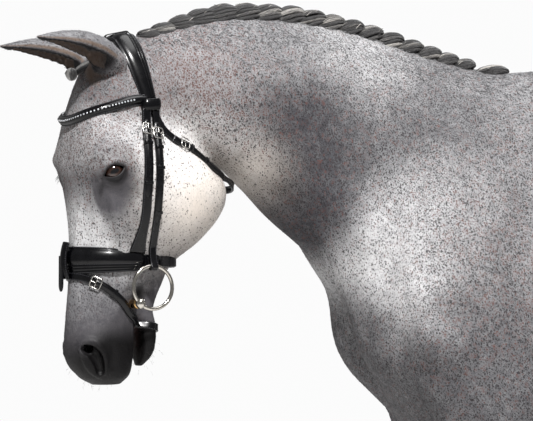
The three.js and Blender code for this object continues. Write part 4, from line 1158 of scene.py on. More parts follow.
@dataclass(frozen=True)
class CoatFinish:
    """The short coat of a flea-bitten grey: off-white hair with black and rusty flecks over dark skin."""

    light: tuple[float, ...] = rgb(228, 228, 229)
    cool: tuple[float, ...] = rgb(35, 36, 43)
    cream: tuple[float, ...] = rgb(226, 215, 203)
    black: tuple[float, ...] = rgb(34, 29, 31)
    rust: tuple[float, ...] = rgb(82, 48, 40)
    dark: tuple[float, ...] = rgb(80, 78, 81)
    lips: tuple[float, ...] = rgb(10, 9, 10)
    brown: tuple[float, ...] = rgb(112, 88, 66)
    pink: tuple[float, ...] = rgb(104, 66, 62)
    quiet: float = 0.004  # weight of a middling grey beside the tones

    def _tone(self, points: Array) -> Array:
        """How grey the coat is, painted shade and light included, at points of the straight horse, between
        the places of TONES.
        """
        total, weight = np.full(len(points), 0.5 * self.quiet), np.full(len(points), self.quiet)
        for _, x, z, reach, shade in TONES:
            near = bell(points, x, z, reach, reach)
            total, weight = total + near * shade.value, weight + near
        return total / weight

    def markings(self, points: Array, normals: Array, ear: Ear, eye: Eye) -> dict[str, Array]:
        """How much of each marking, painted shade and light among them, there is at points of the straight
        horse.

        Args:
            points: (n, 3) positions.
            normals: (n, 3) outward directions there.
            ear: the ear's sizes.
            eye: the eye's sizes.

        Returns:
            A number for each point under each marking's name.
        """
        x, y, z = points[:, 0] / MM, np.abs(points[:, 1]) / MM, points[:, 2] / MM
        b = partial(bell, points)
        head = ramp(-x, 640, 700)
        freckles = blots(points, 0.50, FLECKED)
        rusty = blots(points, 0.18, RUSTY)
        muzzle = ramp(-(z - 1146 - 0.5 * (x + 890)), -150, 20) * head
        chin = ramp(x, -787, -780) * ramp(-z, -1215, -1180) * head
        centre = np.array(eye.centre)
        round_eye = np.sqrt((x - centre[0]) ** 2 + (y - centre[1] - 6) ** 2 + (z - centre[2]) ** 2)
        # Darker skin round the eye; partly painted shade, for the hollow under the eye and the brow's hollow.
        under_eye = np.hypot((x - centre[0] + 3) * 0.95, (z - centre[2] + 32) * 0.72)
        socket = 1 - ramp(under_eye + 60 * ramp(-y, -60, -46), 14, 44)
        brow = 0.34 * b(-880, 1490, 26, 26) * ramp(y, 70, 84)
        lips = np.maximum(ramp(-(z - 1140 - 1.1 * (x + 880)), -78, 2) * ramp(-z, -1218, -1160) * head,
                          chin * ramp(-z, -1226, -1180))
        corner = b(-792, 1246, 16, 20) * ramp(y, 20, 40)
        nostril = 1.2 * b(-873, 1137, 15, 24) * ramp(y, 18, 30)
        lids = np.maximum(1 - ramp(round_eye, 20, 26), 0.7 * b(-877, 1412, 4, 20) * ramp(y, 60, 70))
        mirror = points.copy()
        mirror[:, 1] = np.abs(mirror[:, 1])
        root, tip = np.array(ear.root) * MM, np.array(ear.tip) * MM
        along = (tip - root) / np.linalg.norm(tip - root)
        reach = (mirror - root) @ along / (ear.length * MM)
        off = np.linalg.norm(mirror - root - np.outer(reach * ear.length * MM, along), axis=1)
        on_ear = ramp(reach, 0.10, 0.24) * (1 - ramp(off, 0.040, 0.052)) * ramp(-x, 838, 856)
        front = np.array(ear.mouth) / np.linalg.norm(ear.mouth)
        turned = normals.copy()
        turned[:, 1] *= np.sign(points[:, 1])
        facing = turned @ front
        # Inside the ear's cup: dark skin, and painted shade of its hollow.
        inside = on_ear * ramp(facing, 0.16, 0.5)
        rim = on_ear * (1 - ramp(np.abs(facing - 0.10), 0.08, 0.26))
        knees = 0.32 * (b(-160, 540, 60, 70) + b(1190, 600, 80, 90)) + 0.5 * ramp(-z, -240, -110)
        return {
            "freckles": np.clip(freckles * (1 - 0.7 * on_ear), 0.02, 1),
            "rusty": np.clip(rusty, 0, 1),
            # the coat's grey steps, painted shade and light included, with darker knees and lower legs
            "shade": np.clip(self._tone(points) + 0.5 * knees, 0, 1),
            "warm": np.clip(blots(points, 0.0, CREAMY), 0, 1),
            # darker bare skin; round the eye and inside the ear this is partly painted shade
            "dark": np.clip(np.maximum.reduce([muzzle, chin, 0.85 * socket, brow, 0.85 * inside, 0.3 * on_ear,
                                               corner * 0.6, knees * 0.4]), 0, 1),
            # nearly black bare skin of lips, nostrils and lids, and the ear's inside, which is partly painted
            # shade
            "lips": np.clip(
                np.maximum.reduce([lips, 0.9 * nostril, 0.85 * lids, 0.95 * inside, corner]), 0, 1),
            "brown": np.clip(rim, 0, 1),
            "pink": np.clip(b(-783, 1160, 3.0, 26) * head * (1 - ramp(y, 30, 44)) * 0.8, 0, 1),
            "trunk": ramp(x, -60, 160),
        }

    def material(self) -> bpy.types.Material:
        """The finish of the skin and of its hair."""
        g = Graph("coat")
        straight = g.vector("straight")
        x, y, z = g.axes(straight)
        down = g.joined(x + z * 0.16, y, z * 0.8)
        back = g.joined(x * 0.6, y, z + x * 0.55)
        # the hair lies down the neck and back along the trunk
        combed = g.blend(g.number("trunk"), down, back)
        warp = g.node("ShaderNodeTexNoise", None, Vector=straight, Scale=170.0, Detail=2.0)
        shift = g.node("ShaderNodeVectorMath", {"operation": "MULTIPLY_ADD"}, Vector=warp.outputs["Color"],
                       Vector_001=(0.003, 0.003, 0.003), Vector_002=combed).outputs[0]
        patches = g.noise(straight, 22, 4, 0.62)
        freckles, rusty = g.number("freckles"), g.number("rusty")
        # flecks stand thicker where the coat is darker, so they also carry the painted shade
        dense = freckles * (0.30 + 1.3 * patches + 1.25 * g.number("shade"))
        streaks = g.noise(g.scaled(combed, 1, 1, 0.35), 420, 3, 0.6)
        fine = g.noise(g.scaled(combed, 1, 1, 0.5), 1100, 2, 0.6)
        small, pick_small = g.cells(shift, 345)
        large, pick_large = g.cells(shift, 190)
        tiny, pick_tiny = g.cells(shift, 640)
        spots = ((1 - small.step(0.26, 0.50))
                 * (1 - pick_small.step(dense * 0.80, dense * 0.80 + 0.06))).most(
            (1 - large.step(0.20, 0.38)) * (1 - pick_large.step(dense * 0.34, dense * 0.34 + 0.04)))
        spots = spots.most((1 - tiny.step(0.25, 0.52))
                           * (1 - pick_tiny.step(dense * 0.75, dense * 0.75 + 0.1)) * 0.8)
        spots = (spots * (0.72 + 0.55 * streaks)).least(1)
        spread = g.noise(straight, 75, 3, 0.6)
        # the coat's grey steps, in which TONES also paints shade and light
        shade = (g.number("shade") * 0.88 + (patches - 0.5) * 0.26 + (spread - 0.5) * 0.30).least(1).most(0)
        pale = (0.89 - 0.72 * shade) ** 2.2  # even steps of shade look even
        colour = g.mix((pale - 0.02) * 1.316, self.cool, self.light)
        colour = g.mix(g.number("warm") * (0.5 + 0.6 * patches), colour, self.cream)
        colour = g.mix((streaks - 0.42).most(0) * 0.55, colour, self.cool)
        kind = (pick_large + rusty - 0.5).step(0.30, 0.75)
        colour = g.mix(spots * 0.92, colour, g.mix(kind, self.black, self.rust))
        colour = g.mix(g.number("brown") * 0.8, colour, self.brown)
        edge = g.noise(straight, 150, 3, 0.65)
        dark = (g.number("dark") * 1.35 + (edge - 0.5) * 0.8 * g.number("dark")).least(1).most(0)
        grizzle = ((fine - 0.35).most(0) * 1.2 + (spread - 0.5) * 0.9).most(0)
        colour = g.mix(dark, colour, g.mix(grizzle, self.dark, self.cool))
        colour = g.mix(g.number("lips"), colour, self.lips)
        colour = g.mix(g.number("pink"), colour, self.pink)
        wrinkles = g.noise(g.scaled(straight, 1, 1, 2.2), 160, 3, 0.55)
        bare = (g.number("lips") + 0.5 * g.number("dark")).least(1)
        height = streaks * 0.5 + fine * 0.4 + wrinkles * bare * 0.8
        rough = 0.62 - 0.14 * g.number("lips") + 0.16 * (streaks - 0.5)
        return g.finish(Base_Color=colour, Roughness=rough, Normal=g.bump(height, 0.0011, 0.6),
                        Specular_IOR_Level=0.2)


@dataclass(frozen=True)
class HairFinish:
    """Long hair of the mane, forelock or tail."""

    name: str
    dark: tuple[float, ...]
    light: tuple[float, ...]
    rough: float = 0.5

    def material(self) -> bpy.types.Material:
        """Its finish, streaked along each lock; "lock" is (across, along, random)."""
        g = Graph(self.name)
        across, along, pick = g.axes(g.vector("lock"))
        place = g.joined(across + pick * 31.0, along * 0.05, pick * 17.0)  # each lock has its own streaks
        streaks = g.noise(place, 9.0, 3, 0.65)
        fine = g.noise(place, 34.0, 2, 0.6)
        share = (pick * 0.9 + (streaks - 0.5) * 1.3 + (fine - 0.5) * 0.9).step(0.30, 0.95)
        return g.finish(Base_Color=g.mix(share, self.dark, self.light), Roughness=self.rough,
                        Normal=g.bump(streaks * 0.6 + fine * 0.6, 0.0016, 0.9), Specular_IOR_Level=0.6,
                        Sheen_Weight=0.1)


@dataclass(frozen=True)
class LeatherFinish:
    """Polished black bridle leather."""

    name: str = "bridle_leather"
    colour: tuple[float, ...] = rgb(3, 3, 5)
    rough: float = 0.26
    coat: float = 0.18
    grain: float = 0.00025

    def material(self) -> bpy.types.Material:
        """Its finish, with grain, creases and rubbed places."""
        g = Graph(self.name)
        place = g.place()
        pores, _ = g.cells(place, 900)
        creases = g.noise(place, 160, 3, 0.6)
        rub = g.noise(place, 30, 3, 0.6)
        colour = g.mix((rub - 0.45).most(0) * 0.5, self.colour, rgb(20, 20, 24))
        return g.finish(Base_Color=colour, Roughness=self.rough + 0.3 * (rub - 0.5) + 0.12 * (creases - 0.5),
                        Normal=g.bump(pores * 0.4 + creases * 0.6, self.grain, 0.5),
                        Coat_Weight=self.coat, Coat_Roughness=0.16, Specular_IOR_Level=0.25)


@dataclass(frozen=True)
class MetalFinish:
    """Polished metal of the bit or the buckles."""

    name: str
    colour: tuple[float, ...] = rgb(214, 212, 206)
    rough: float = 0.16

    def material(self) -> bpy.types.Material:
        """Its finish, with faint smears and scratches."""
        g = Graph(self.name)
        place = g.place()
        smears = g.noise(place, 70, 3, 0.6)
        lines = g.noise(g.scaled(place, 1, 1, 9), 260, 2, 0.5)
        colour = g.mix((smears - 0.5).most(0) * 0.9, self.colour, rgb(130, 124, 116))
        return g.finish(Base_Color=colour, Metallic=1.0,
                        Roughness=self.rough + 0.22 * (smears - 0.42).most(0),
                        Normal=g.bump(lines, 0.0001, 0.4))


@dataclass(frozen=True)
class PlainFinish:
    """A small even finish, such as a thread's or a gem's, with a little noise in it."""

    name: str
    colour: tuple[float, ...]
    rough: float = 0.5
    metal: float = 0.0
    coat: float = 0.0
    scale: float = 700.0

    def material(self) -> bpy.types.Material:
        """Its finish."""
        g = Graph(self.name)
        grain = g.noise(g.place(), self.scale, 2, 0.5)
        darker = tuple(0.72 * c for c in self.colour[:3]) + (1.0,)
        return g.finish(Base_Color=g.mix(grain.step(0.35, 0.75), self.colour, darker), Metallic=self.metal,
                        Roughness=self.rough + 0.15 * (grain - 0.5), Coat_Weight=self.coat,
                        Coat_Roughness=0.05, Normal=g.bump(grain, 0.0002, 0.5))


@dataclass(frozen=True)
class HornFinish:
    """The horn of a hoof, with rings of growth and fine lines down the wall."""

    dark: tuple[float, ...] = rgb(74, 66, 58)
    light: tuple[float, ...] = rgb(142, 130, 112)

    def material(self) -> bpy.types.Material:
        """Its finish; "wall" is (turn, height above the ground, 0)."""
        g = Graph("hoof_horn")
        wall = g.vector("wall")
        lines = g.noise(g.scaled(wall, 16, 6, 1), 3.0, 3, 0.6)
        rings = g.noise(g.scaled(wall, 0.3, 150, 1), 1.0, 2, 0.5)
        colour = g.mix(lines.step(0.3, 0.8), self.dark, self.light)
        colour = g.mix(rings.step(0.4, 0.7) * 0.4, colour, self.light)
        return g.finish(Base_Color=colour, Roughness=0.42 + 0.2 * lines,
                        Normal=g.bump(lines * 0.4 + rings, 0.0012, 0.7), Coat_Weight=0.05)


@dataclass(frozen=True)
class EyeFinish:
    """A horse's eye: dark brown, with a level pupil and a wet surface."""

    def material(self) -> bpy.types.Material:
        """Its finish; "gaze" is the direction from the eye's centre, outward, along and across."""
        g = Graph("eye")
        _, along, across = g.axes(g.vector("gaze"))
        round_off = along * along + across * across
        level = along * along * 5.0 + across * across * 22.0
        rays = g.noise(g.scaled(g.vector("gaze"), 1, 6, 6), 5.0, 4, 0.6)
        colour = g.mix(rays, rgb(18, 11, 9), rgb(58, 34, 24))
        colour = g.mix(1 - level.step(0.55, 0.95), colour, rgb(6, 6, 9))
        colour = g.mix(round_off.step(0.36, 0.62), colour, rgb(20, 14, 13))
        return g.finish(Base_Color=colour, Roughness=0.09 + 0.03 * rays, Coat_Weight=1.0, Coat_Roughness=0.02,
                        Specular_IOR_Level=0.4, Normal=g.bump(rays, 0.0003, 0.2))


# ---------------------------------------- making pieces


@dataclass
class Maker:
    pose: Pose
    tree: BVHTree
    made: list[bpy.types.Object] = field(default_factory=list)

    @classmethod
    def on(cls, pose: Pose, skin: bpy.types.Object) -> "Maker":
        """A maker for a skin that hasn't been settled yet."""
        faces = [tuple(face.vertices) for face in skin.data.polygons]
        return cls(pose, BVHTree.FromPolygons([tuple(p) for p in positions(skin)], faces))

    def surface(self, inside: Sequence[float], outward: Sequence[float], reach: float = 400) -> Array:
        """The skin's point that is farthest out from a point inside, within a reach, in millimetres."""
        o = Vector(outward).normalized()
        start = Vector(inside) * MM + o * reach * MM
        hit = self.tree.ray_cast(start, -o, reach * MM)
        return np.array(hit[0] if hit[0] is not None else Vector(inside) * MM) / MM

    def normal(self, point: Sequence[float]) -> Array:
        """The skin's outward direction nearest to a point in millimetres."""
        return np.array(self.tree.find_nearest(Vector(point) * MM)[1])

    def piece(self, name: str, points: Array, faces: Iterable[Sequence[int]], material: bpy.types.Material,
              slot: str, nodes: Sequence[str] = (), notes: dict[str, Array] | None = None,
              smooth: bool = True) -> bpy.types.Object:
        """Makes a piece from points in millimetres on the straight horse.

        Args:
            name: the piece's name.
            points: (n, 3) vertices.
            faces: index tuples.
            material: its finish.
            slot: not used.
            nodes: the frame's nodes that it stands for.
            notes: numbers or vectors for each vertex.
            smooth: whether it is shaded smooth.

        Returns:
            The piece.
        """
        thing = new_object(name, self.pose.place(np.asarray(points, float) * MM), faces, smooth)
        for key, values in (notes or {}).items():
            note(thing, key, values)
        return self.declare(thing, material, slot, nodes)

    def declare(self, thing: bpy.types.Object, material: bpy.types.Material | None, slot: str,
                nodes: Sequence[str] = ()) -> bpy.types.Object:
        """Finishes a piece, fixes it to the root and hides the frame's parts that it stands for; the
        arguments are piece's.
        """
        if material is not None:
            thing.data.materials.clear()
            thing.data.materials.append(material)
        mesh = bmesh.new()
        mesh.from_mesh(thing.data)
        if mesh.calc_volume(signed=True) < 0:
            bmesh.ops.reverse_faces(mesh, faces=mesh.faces)
            mesh.to_mesh(thing.data)
        mesh.free()
        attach(thing, "root")
        if nodes:
            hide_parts(*nodes)
        self.made.append(thing)
        triangles = sum(len(face.vertices) - 2 for face in thing.data.polygons)
        LOG.info("%-26s %7d triangles", thing.name, triangles)
        return thing


@dataclass
class Shape:
    """Points, faces and per-vertex numbers that are gathered before they become a piece."""

    points: list[Array] = field(default_factory=list)
    faces: Faces = field(default_factory=list)
    notes: dict[str, list[Array]] = field(default_factory=dict)
    count: int = 0

    def add(self, points: Array, faces: Iterable[Sequence[int]], **notes: Array) -> None:
        """Adds a body of its own."""
        self.points.append(np.asarray(points, float))
        self.faces.extend(tuple(int(i) + self.count for i in face) for face in faces)
        self.count += len(points)
        for key, values in notes.items():
            self.notes.setdefault(key, []).append(values)

    def gathered(self) -> tuple[Array, Faces, dict[str, Array]]:
        """Everything that was added."""
        return np.vstack(self.points), self.faces, {k: np.concatenate(v) for k, v in self.notes.items()}


def tube_faces(rings: int, sides: int, closed: bool = False) -> Faces:
    """Faces of rings of points that follow each other.

    Args:
        rings: how many.
        sides: points in each.
        closed: True if the last ring joins the first; otherwise both ends are capped.

    Returns:
        Index tuples.
    """
    faces = []
    for i in range(rings if closed else rings - 1):
        a, b = i * sides, ((i + 1) % rings) * sides
        faces += [(a + j, a + (j + 1) % sides, b + (j + 1) % sides, b + j) for j in range(sides)]
    if not closed:
        faces.append(tuple(range(sides))[::-1])
        faces.append(tuple(range((rings - 1) * sides, rings * sides)))
    return faces


def frames(path: Array, outward: Array) -> tuple[Array, Array, Array]:
    """Unit vectors along a path, across it and out of it, at each of its points."""
    along = np.gradient(path, axis=0)
    along /= np.linalg.norm(along, axis=1)[:, None]
    out = outward - np.einsum("ij,ij->i", outward, along)[:, None] * along
    out /= np.linalg.norm(out, axis=1)[:, None]
    return along, np.cross(along, out), out


def spin(profile: Points, sides: int, ratio: float = 1.0) -> tuple[Array, Faces]:
    """A body turned round z.

    Args:
        profile: radius and z of each ring, from bottom to top.
        sides: points in each ring.
        ratio: how much narrower it is along y than along x.

    Returns:
        Vertices and faces.
    """
    turn = np.linspace(0, 2 * math.pi, sides, endpoint=False)
    points = [(r * math.cos(a), ratio * r * math.sin(a), z) for r, z in profile for a in turn]
    return np.array(points), tube_faces(len(profile), sides)


def ring_body(radius: float, wire: float, sides: int, round_: int) -> tuple[Array, Faces]:
    """A ring of round wire in the x-z plane."""
    points = []
    for a in np.linspace(0, 2 * math.pi, sides, endpoint=False):
        for b in np.linspace(0, 2 * math.pi, round_, endpoint=False):
            r = radius + wire * math.cos(b)
            points.append((r * math.cos(a), wire * math.sin(b), r * math.sin(a)))
    return np.array(points), tube_faces(sides, round_, True)


@dataclass
class Scatter:
    """Copies of a small shape on given places, set by Geometry Nodes.

    Attributes:
        name: the piece's name.
        shape: vertices and faces of one copy; z is outward and x lies along the given direction.
        size: scale of every copy.
        variation: how much smaller the smallest copy is, as a share.
        seed: of the copies' random sizes.
    """

    name: str
    shape: tuple[Array, Faces]
    size: float = 1.0
    variation: float = 0.0
    seed: int = 7

    def _tree(self) -> bpy.types.GeometryNodeTree:
        """The node tree, whose inputs are Copy, Size, Variation, Seed and Finish."""
        tree = bpy.data.node_groups.new(f"{self.name}_scatter", "GeometryNodeTree")
        face = tree.interface
        face.new_socket("Geometry", in_out="INPUT", socket_type="NodeSocketGeometry")
        for name, kind in (("Copy", "NodeSocketObject"), ("Size", "NodeSocketFloat"),
                           ("Variation", "NodeSocketFloat"), ("Seed", "NodeSocketInt"),
                           ("Finish", "NodeSocketMaterial")):
            face.new_socket(name, in_out="INPUT", socket_type=kind)
        face.new_socket("Geometry", in_out="OUTPUT", socket_type="NodeSocketGeometry")
        new, link = tree.nodes.new, tree.links.new
        enter, leave = new("NodeGroupInput"), new("NodeGroupOutput")
        out, lie, size = (new("GeometryNodeInputNamedAttribute") for _ in range(3))
        for node, name in ((out, "out"), (lie, "lie"), (size, "size")):
            node.data_type = "FLOAT_VECTOR"
            node.inputs["Name"].default_value = name
        turn = new("FunctionNodeAxesToRotation")
        turn.primary_axis, turn.secondary_axis = "Z", "X"
        copy, put = new("GeometryNodeObjectInfo"), new("GeometryNodeInstanceOnPoints")
        vary, less, times, scale = (new("FunctionNodeRandomValue"), new("ShaderNodeMath"),
                                    new("ShaderNodeMath"), new("ShaderNodeVectorMath"))
        less.operation, times.operation, scale.operation = "SUBTRACT", "MULTIPLY", "SCALE"
        less.inputs[0].default_value = 1.0
        real, dress = new("GeometryNodeRealizeInstances"), new("GeometryNodeSetMaterial")
        link(enter.outputs["Copy"], copy.inputs["Object"])
        link(enter.outputs["Variation"], less.inputs[1])
        link(less.outputs[0], vary.inputs[2])
        vary.inputs[3].default_value = 1.0
        link(enter.outputs["Seed"], vary.inputs["Seed"])
        link(vary.outputs[1], times.inputs[0])
        link(enter.outputs["Size"], times.inputs[1])
        link(size.outputs[0], scale.inputs[0])
        link(times.outputs[0], scale.inputs["Scale"])
        link(out.outputs[0], turn.inputs[0])
        link(lie.outputs[0], turn.inputs[1])
        link(enter.outputs["Geometry"], put.inputs["Points"])
        link(copy.outputs["Geometry"], put.inputs["Instance"])
        link(turn.outputs[0], put.inputs["Rotation"])
        link(scale.outputs[0], put.inputs["Scale"])
        link(put.outputs[0], real.inputs[0])
        link(real.outputs[0], dress.inputs["Geometry"])
        link(enter.outputs["Finish"], dress.inputs["Material"])
        link(dress.outputs[0], leave.inputs[0])
        return tree

    def build(self, maker: Maker, places: Array, out: Array, lie: Array, material: bpy.types.Material,
              slot: str, size: Array | None = None, notes: dict[str, Array] | None = None, smooth: bool = True
              ) -> bpy.types.Object:
        """Sets a copy on each place.

        Args:
            maker: carries the copies onto the frame.
            places: (n, 3) positions in millimetres on the straight horse.
            out: (n, 3) outward directions there.
            lie: (n, 3) directions of each copy's own x.
            material: the copies' finish.
            slot: not used.
            size: (n, 3) scale of each copy along its own axes.
            notes: numbers or vectors for each place, kept on every vertex of its copy.
            smooth: whether the copies are shaded smooth.

        Returns:
            The piece.
        """
        straight = np.asarray(places, float) * MM
        holder = new_object(f"{self.name}_places", maker.pose.place(straight), [])
        size = np.ones((len(straight), 3)) if size is None else size
        for key, values in {"out": maker.pose.turn(straight, np.asarray(out, float)),
                            "lie": maker.pose.turn(straight, np.asarray(lie, float)), "size": size,
                            **(notes or {})}.items():
            note(holder, key, values)
        copy = new_object(f"{self.name}_copy", self.shape[0] * MM, self.shape[1], smooth)
        modifier = holder.modifiers.new("scatter", "NODES")
        modifier.node_group = tree = self._tree()
        inputs = {"Copy": copy, "Size": self.size, "Variation": self.variation, "Seed": self.seed,
                  "Finish": material}
        for socket in tree.interface.items_tree:
            if socket.in_out == "INPUT" and socket.name in inputs:
                modifier[socket.identifier] = inputs[socket.name]
        apply_modifiers(holder)
        holder.name = holder.data.name = self.name
        bpy.data.objects.remove(copy)
        bpy.data.node_groups.remove(tree)
        return maker.declare(holder, None, slot)


# ---------------------------------------- eyes


@dataclass
class Eyes:
    """Both eyeballs and their lashes."""

    eye: Eye
    cornea: float = 1.3  # how far the cornea stands out, in millimetres
    lashes: int = 34

    def build(self, maker: Maker) -> None:
        """Makes an eyeball and its lashes on each side."""
        look = EyeFinish().material()
        lash_look = PlainFinish("lash_hair", rgb(24, 20, 20), 0.5).material()
        out, along, across = self.eye.axes()
        profile = [(math.sin(a), math.cos(a)) for a in np.linspace(math.pi - 0.02, 0.02, 40)]
        points, faces = spin(profile, 56)
        local = np.stack([points[:, 2], points[:, 0], points[:, 1]], 1)
        bulge = self.cornea * ramp(local[:, 0], 0.72, 0.92)
        radius = self.eye.radius + bulge
        body = local @ np.stack([out, along, across]) * radius[:, None] + np.array(self.eye.centre)
        for side in Side:
            flip = np.array([1, side.value, 1])
            maker.piece(f"eyeball_{side.word}", body * flip, faces, look, "eye", [f"eye_{side.word}"],
                        {"gaze": local})
        self._lashes(maker, lash_look, out)

    def _lashes(self, maker: Maker, look: bpy.types.Material, out: Array) -> None:
        """Sets the lashes along the upper lids."""
        bend = [(0.0, 0.0, 0.0), (2.0, 0.0, 3.4), (4.8, 0.0, 6.2), (8.6, 0.0, 8.0)]
        points, faces = hair_shape(bend, (0.42, 0.36, 0.26, 0.06), 4)
        places, outs, lies = [], [], []
        rng = np.random.default_rng(11)
        edge = np.array(self.eye.lid_edge(self.eye.upper + 0.03, 3.0, self.lashes))
        middle = np.array(self.eye.centre)
        for side in Side:
            flip = np.array([1, side.value, 1])
            for t, p in zip(np.linspace(-1, 1, self.lashes), edge):
                if abs(t) > 0.9:
                    continue
                away = (p - middle) / np.linalg.norm(p - middle)
                down = np.array([0.5 * t, 0.5, -0.8]) + rng.normal(0, 0.12, 3)
                places.append((p + away * 0.8) * flip)
                outs.append((0.45 * away + 0.75 * out + (0, 0, 0.1)) * flip)
                lies.append(down * flip)
        size = rng.uniform(0.75, 1.15, (len(places), 1)) * np.ones(3)
        Scatter("eyelashes", (points, faces)).build(maker, np.array(places), np.array(outs), np.array(lies),
                                                    look, "coat", size)


def hair_shape(bend: Points, radii: Sequence[float], sides: int) -> tuple[Array, Faces]:
    """One thick hair or thin lock along a bent line, in millimetres."""
    line = np.array(bend, float)
    _, across, out = frames(line, np.tile((0.3, 0.0, 1.0), (len(line), 1)))
    turn = np.linspace(0, 2 * math.pi, sides, endpoint=False)
    points = [p + r * (math.cos(a) * w + math.sin(a) * o)
              for p, w, o, r in zip(line, across, out, radii) for a in turn]
    return np.array(points), tube_faces(len(line), sides)


# ---------------------------------------- bridle


class Build(Enum):
    """How a strap is made: its cross-section as (share of the half width, share of the thickness)."""

    FLAT = ((-1.0, 0.10), (-1.0, 0.72), (-0.93, 0.94), (-0.82, 1.0), (-0.4, 1.0), (0.0, 1.0), (0.4, 1.0),
            (0.82, 1.0), (0.93, 0.94), (1.0, 0.72), (1.0, 0.10), (0.9, 0.0), (0.0, 0.0), (-0.9, 0.0))
    PADDED = ((-1.0, 0.05), (-1.0, 0.30), (-0.90, 0.42), (-0.80, 0.40), (-0.70, 0.62), (-0.45, 0.88),
              (-0.2, 0.98), (0.0, 1.0), (0.2, 0.98), (0.45, 0.88), (0.70, 0.62), (0.80, 0.40), (0.90, 0.42),
              (1.0, 0.30), (1.0, 0.05), (0.9, 0.0), (0.0, 0.0), (-0.9, 0.0))
    RAISED = ((-1.0, 0.05), (-1.0, 0.42), (-0.93, 0.52), (-0.84, 0.46), (-0.78, 0.60), (-0.60, 0.86),
              (-0.3, 0.99), (0.0, 1.0), (0.22, 0.93), (0.30, 0.70), (0.36, 0.66), (0.44, 0.80), (0.52, 0.66),
              (0.58, 0.62), (0.66, 0.74), (0.73, 0.58), (0.79, 0.52), (0.87, 0.62), (0.95, 0.50), (1.0, 0.36),
              (1.0, 0.05), (0.9, 0.0), (0.0, 0.0), (-0.9, 0.0))


@dataclass
class Strap:
    """A strap on the skin.

    Attributes:
        path: (n, 3) points on the skin, in millimetres.
        outward: (n, 3) directions out of the skin there.
        width: in millimetres, or a function of the share of its length.
        thickness: in millimetres, or such a function.
        lift: height of its underside over the path, in millimetres, or such a function.
        build: its cross-section.
        tip: length of a pointed end, in millimetres; 0 is a square one.
        pitch: the spacing of its sections, in millimetres.
    """

    path: Array
    outward: Array
    width: float | Callable[[float], float]
    thickness: float | Callable[[float], float] = 4.5
    lift: float | Callable[[float], float] = 0.4
    build: Build = Build.FLAT
    tip: float = 0.0
    pitch: float = 3.5

    def __post_init__(self) -> None:
        """Finds evenly spaced points along the path, with their directions."""
        steps = np.concatenate([[0], np.cumsum(np.linalg.norm(np.diff(self.path, axis=0), axis=1))])
        self.length = float(steps[-1])
        self.stops = np.linspace(0, self.length, max(int(self.length / self.pitch), 4) + 1)
        self.line = np.stack([np.interp(self.stops, steps, self.path[:, i]) for i in range(3)], 1)
        out = np.stack([np.interp(self.stops, steps, self.outward[:, i]) for i in range(3)], 1)
        self.line, out = even(self.line, 2), even(out, 4)
        self.along, self.across, self.out = frames(self.line, out)

    def at(self, place: float, aside: float = 0.0, up: float | None = None) -> tuple[Array, ...]:
        """A point of the strap and its directions.

        Args:
            place: distance along it, in millimetres.
            aside: share of its half width off its middle.
            up: height over its underside; None is its top.

        Returns:
            The point, and the unit vectors along, across and out.
        """
        along, across, out, point = (np.array([np.interp(place, self.stops, v[:, i]) for i in range(3)])
                                     for v in (self.along, self.across, self.out, self.line))
        t = place / self.length
        rise = value_at(self.lift, t) + (self._height(aside, t) if up is None else up)
        return point + across * aside * value_at(self.width, t) / 2 + out * rise, along, across, out

    def _height(self, aside: float, t: float) -> float:
        """Height of its top over its underside at a share of the half width."""
        top = [(u, v) for u, v in self.build.value if v > 0.04 and abs(u) <= 1]
        u, v = zip(*top)
        return float(np.interp(aside, u, v)) * value_at(self.thickness, t)

    def body(self) -> tuple[Array, Faces, Array]:
        """Its vertices, faces and the place of each vertex along and across it, in metres."""
        points, marks = [], []
        for s, p, w, o in zip(self.stops, self.line, self.across, self.out):
            t = s / self.length
            half, thick, lift = (value_at(v, t) for v in (self.width, self.thickness, self.lift))
            half /= 2
            if self.tip:
                half *= math.sqrt(max(min((self.length - s) / self.tip, 1.0), 0.02))
            for u, v in self.build.value:
                points.append(p + w * u * half + o * (lift + v * thick))
                marks.append((s * MM, u * half * MM, v))
        return np.array(points), tube_faces(len(self.stops), len(self.build.value)), np.array(marks)

    def seam(self, aside: float, pitch: float = 3.6, start: float = 4,
             end: float = 4) -> list[tuple[Array, ...]]:
        """Places for stitches along it, at a share of its half width."""
        return [self.at(s, aside) for s in np.arange(start, self.length - end, pitch)]


def value_at(value: float | Callable[[float], float], t: float) -> float:
    """A number, or a function's result at t."""
    return value(t) if callable(value) else value


def even(values: Array, rounds: int) -> Array:
    """Evens out a line of vectors, keeping its ends."""
    values = np.array(values, float)
    for _ in range(rounds):
        values[1:-1] = 0.25 * (values[:-2] + values[2:]) + 0.5 * values[1:-1]
    return values


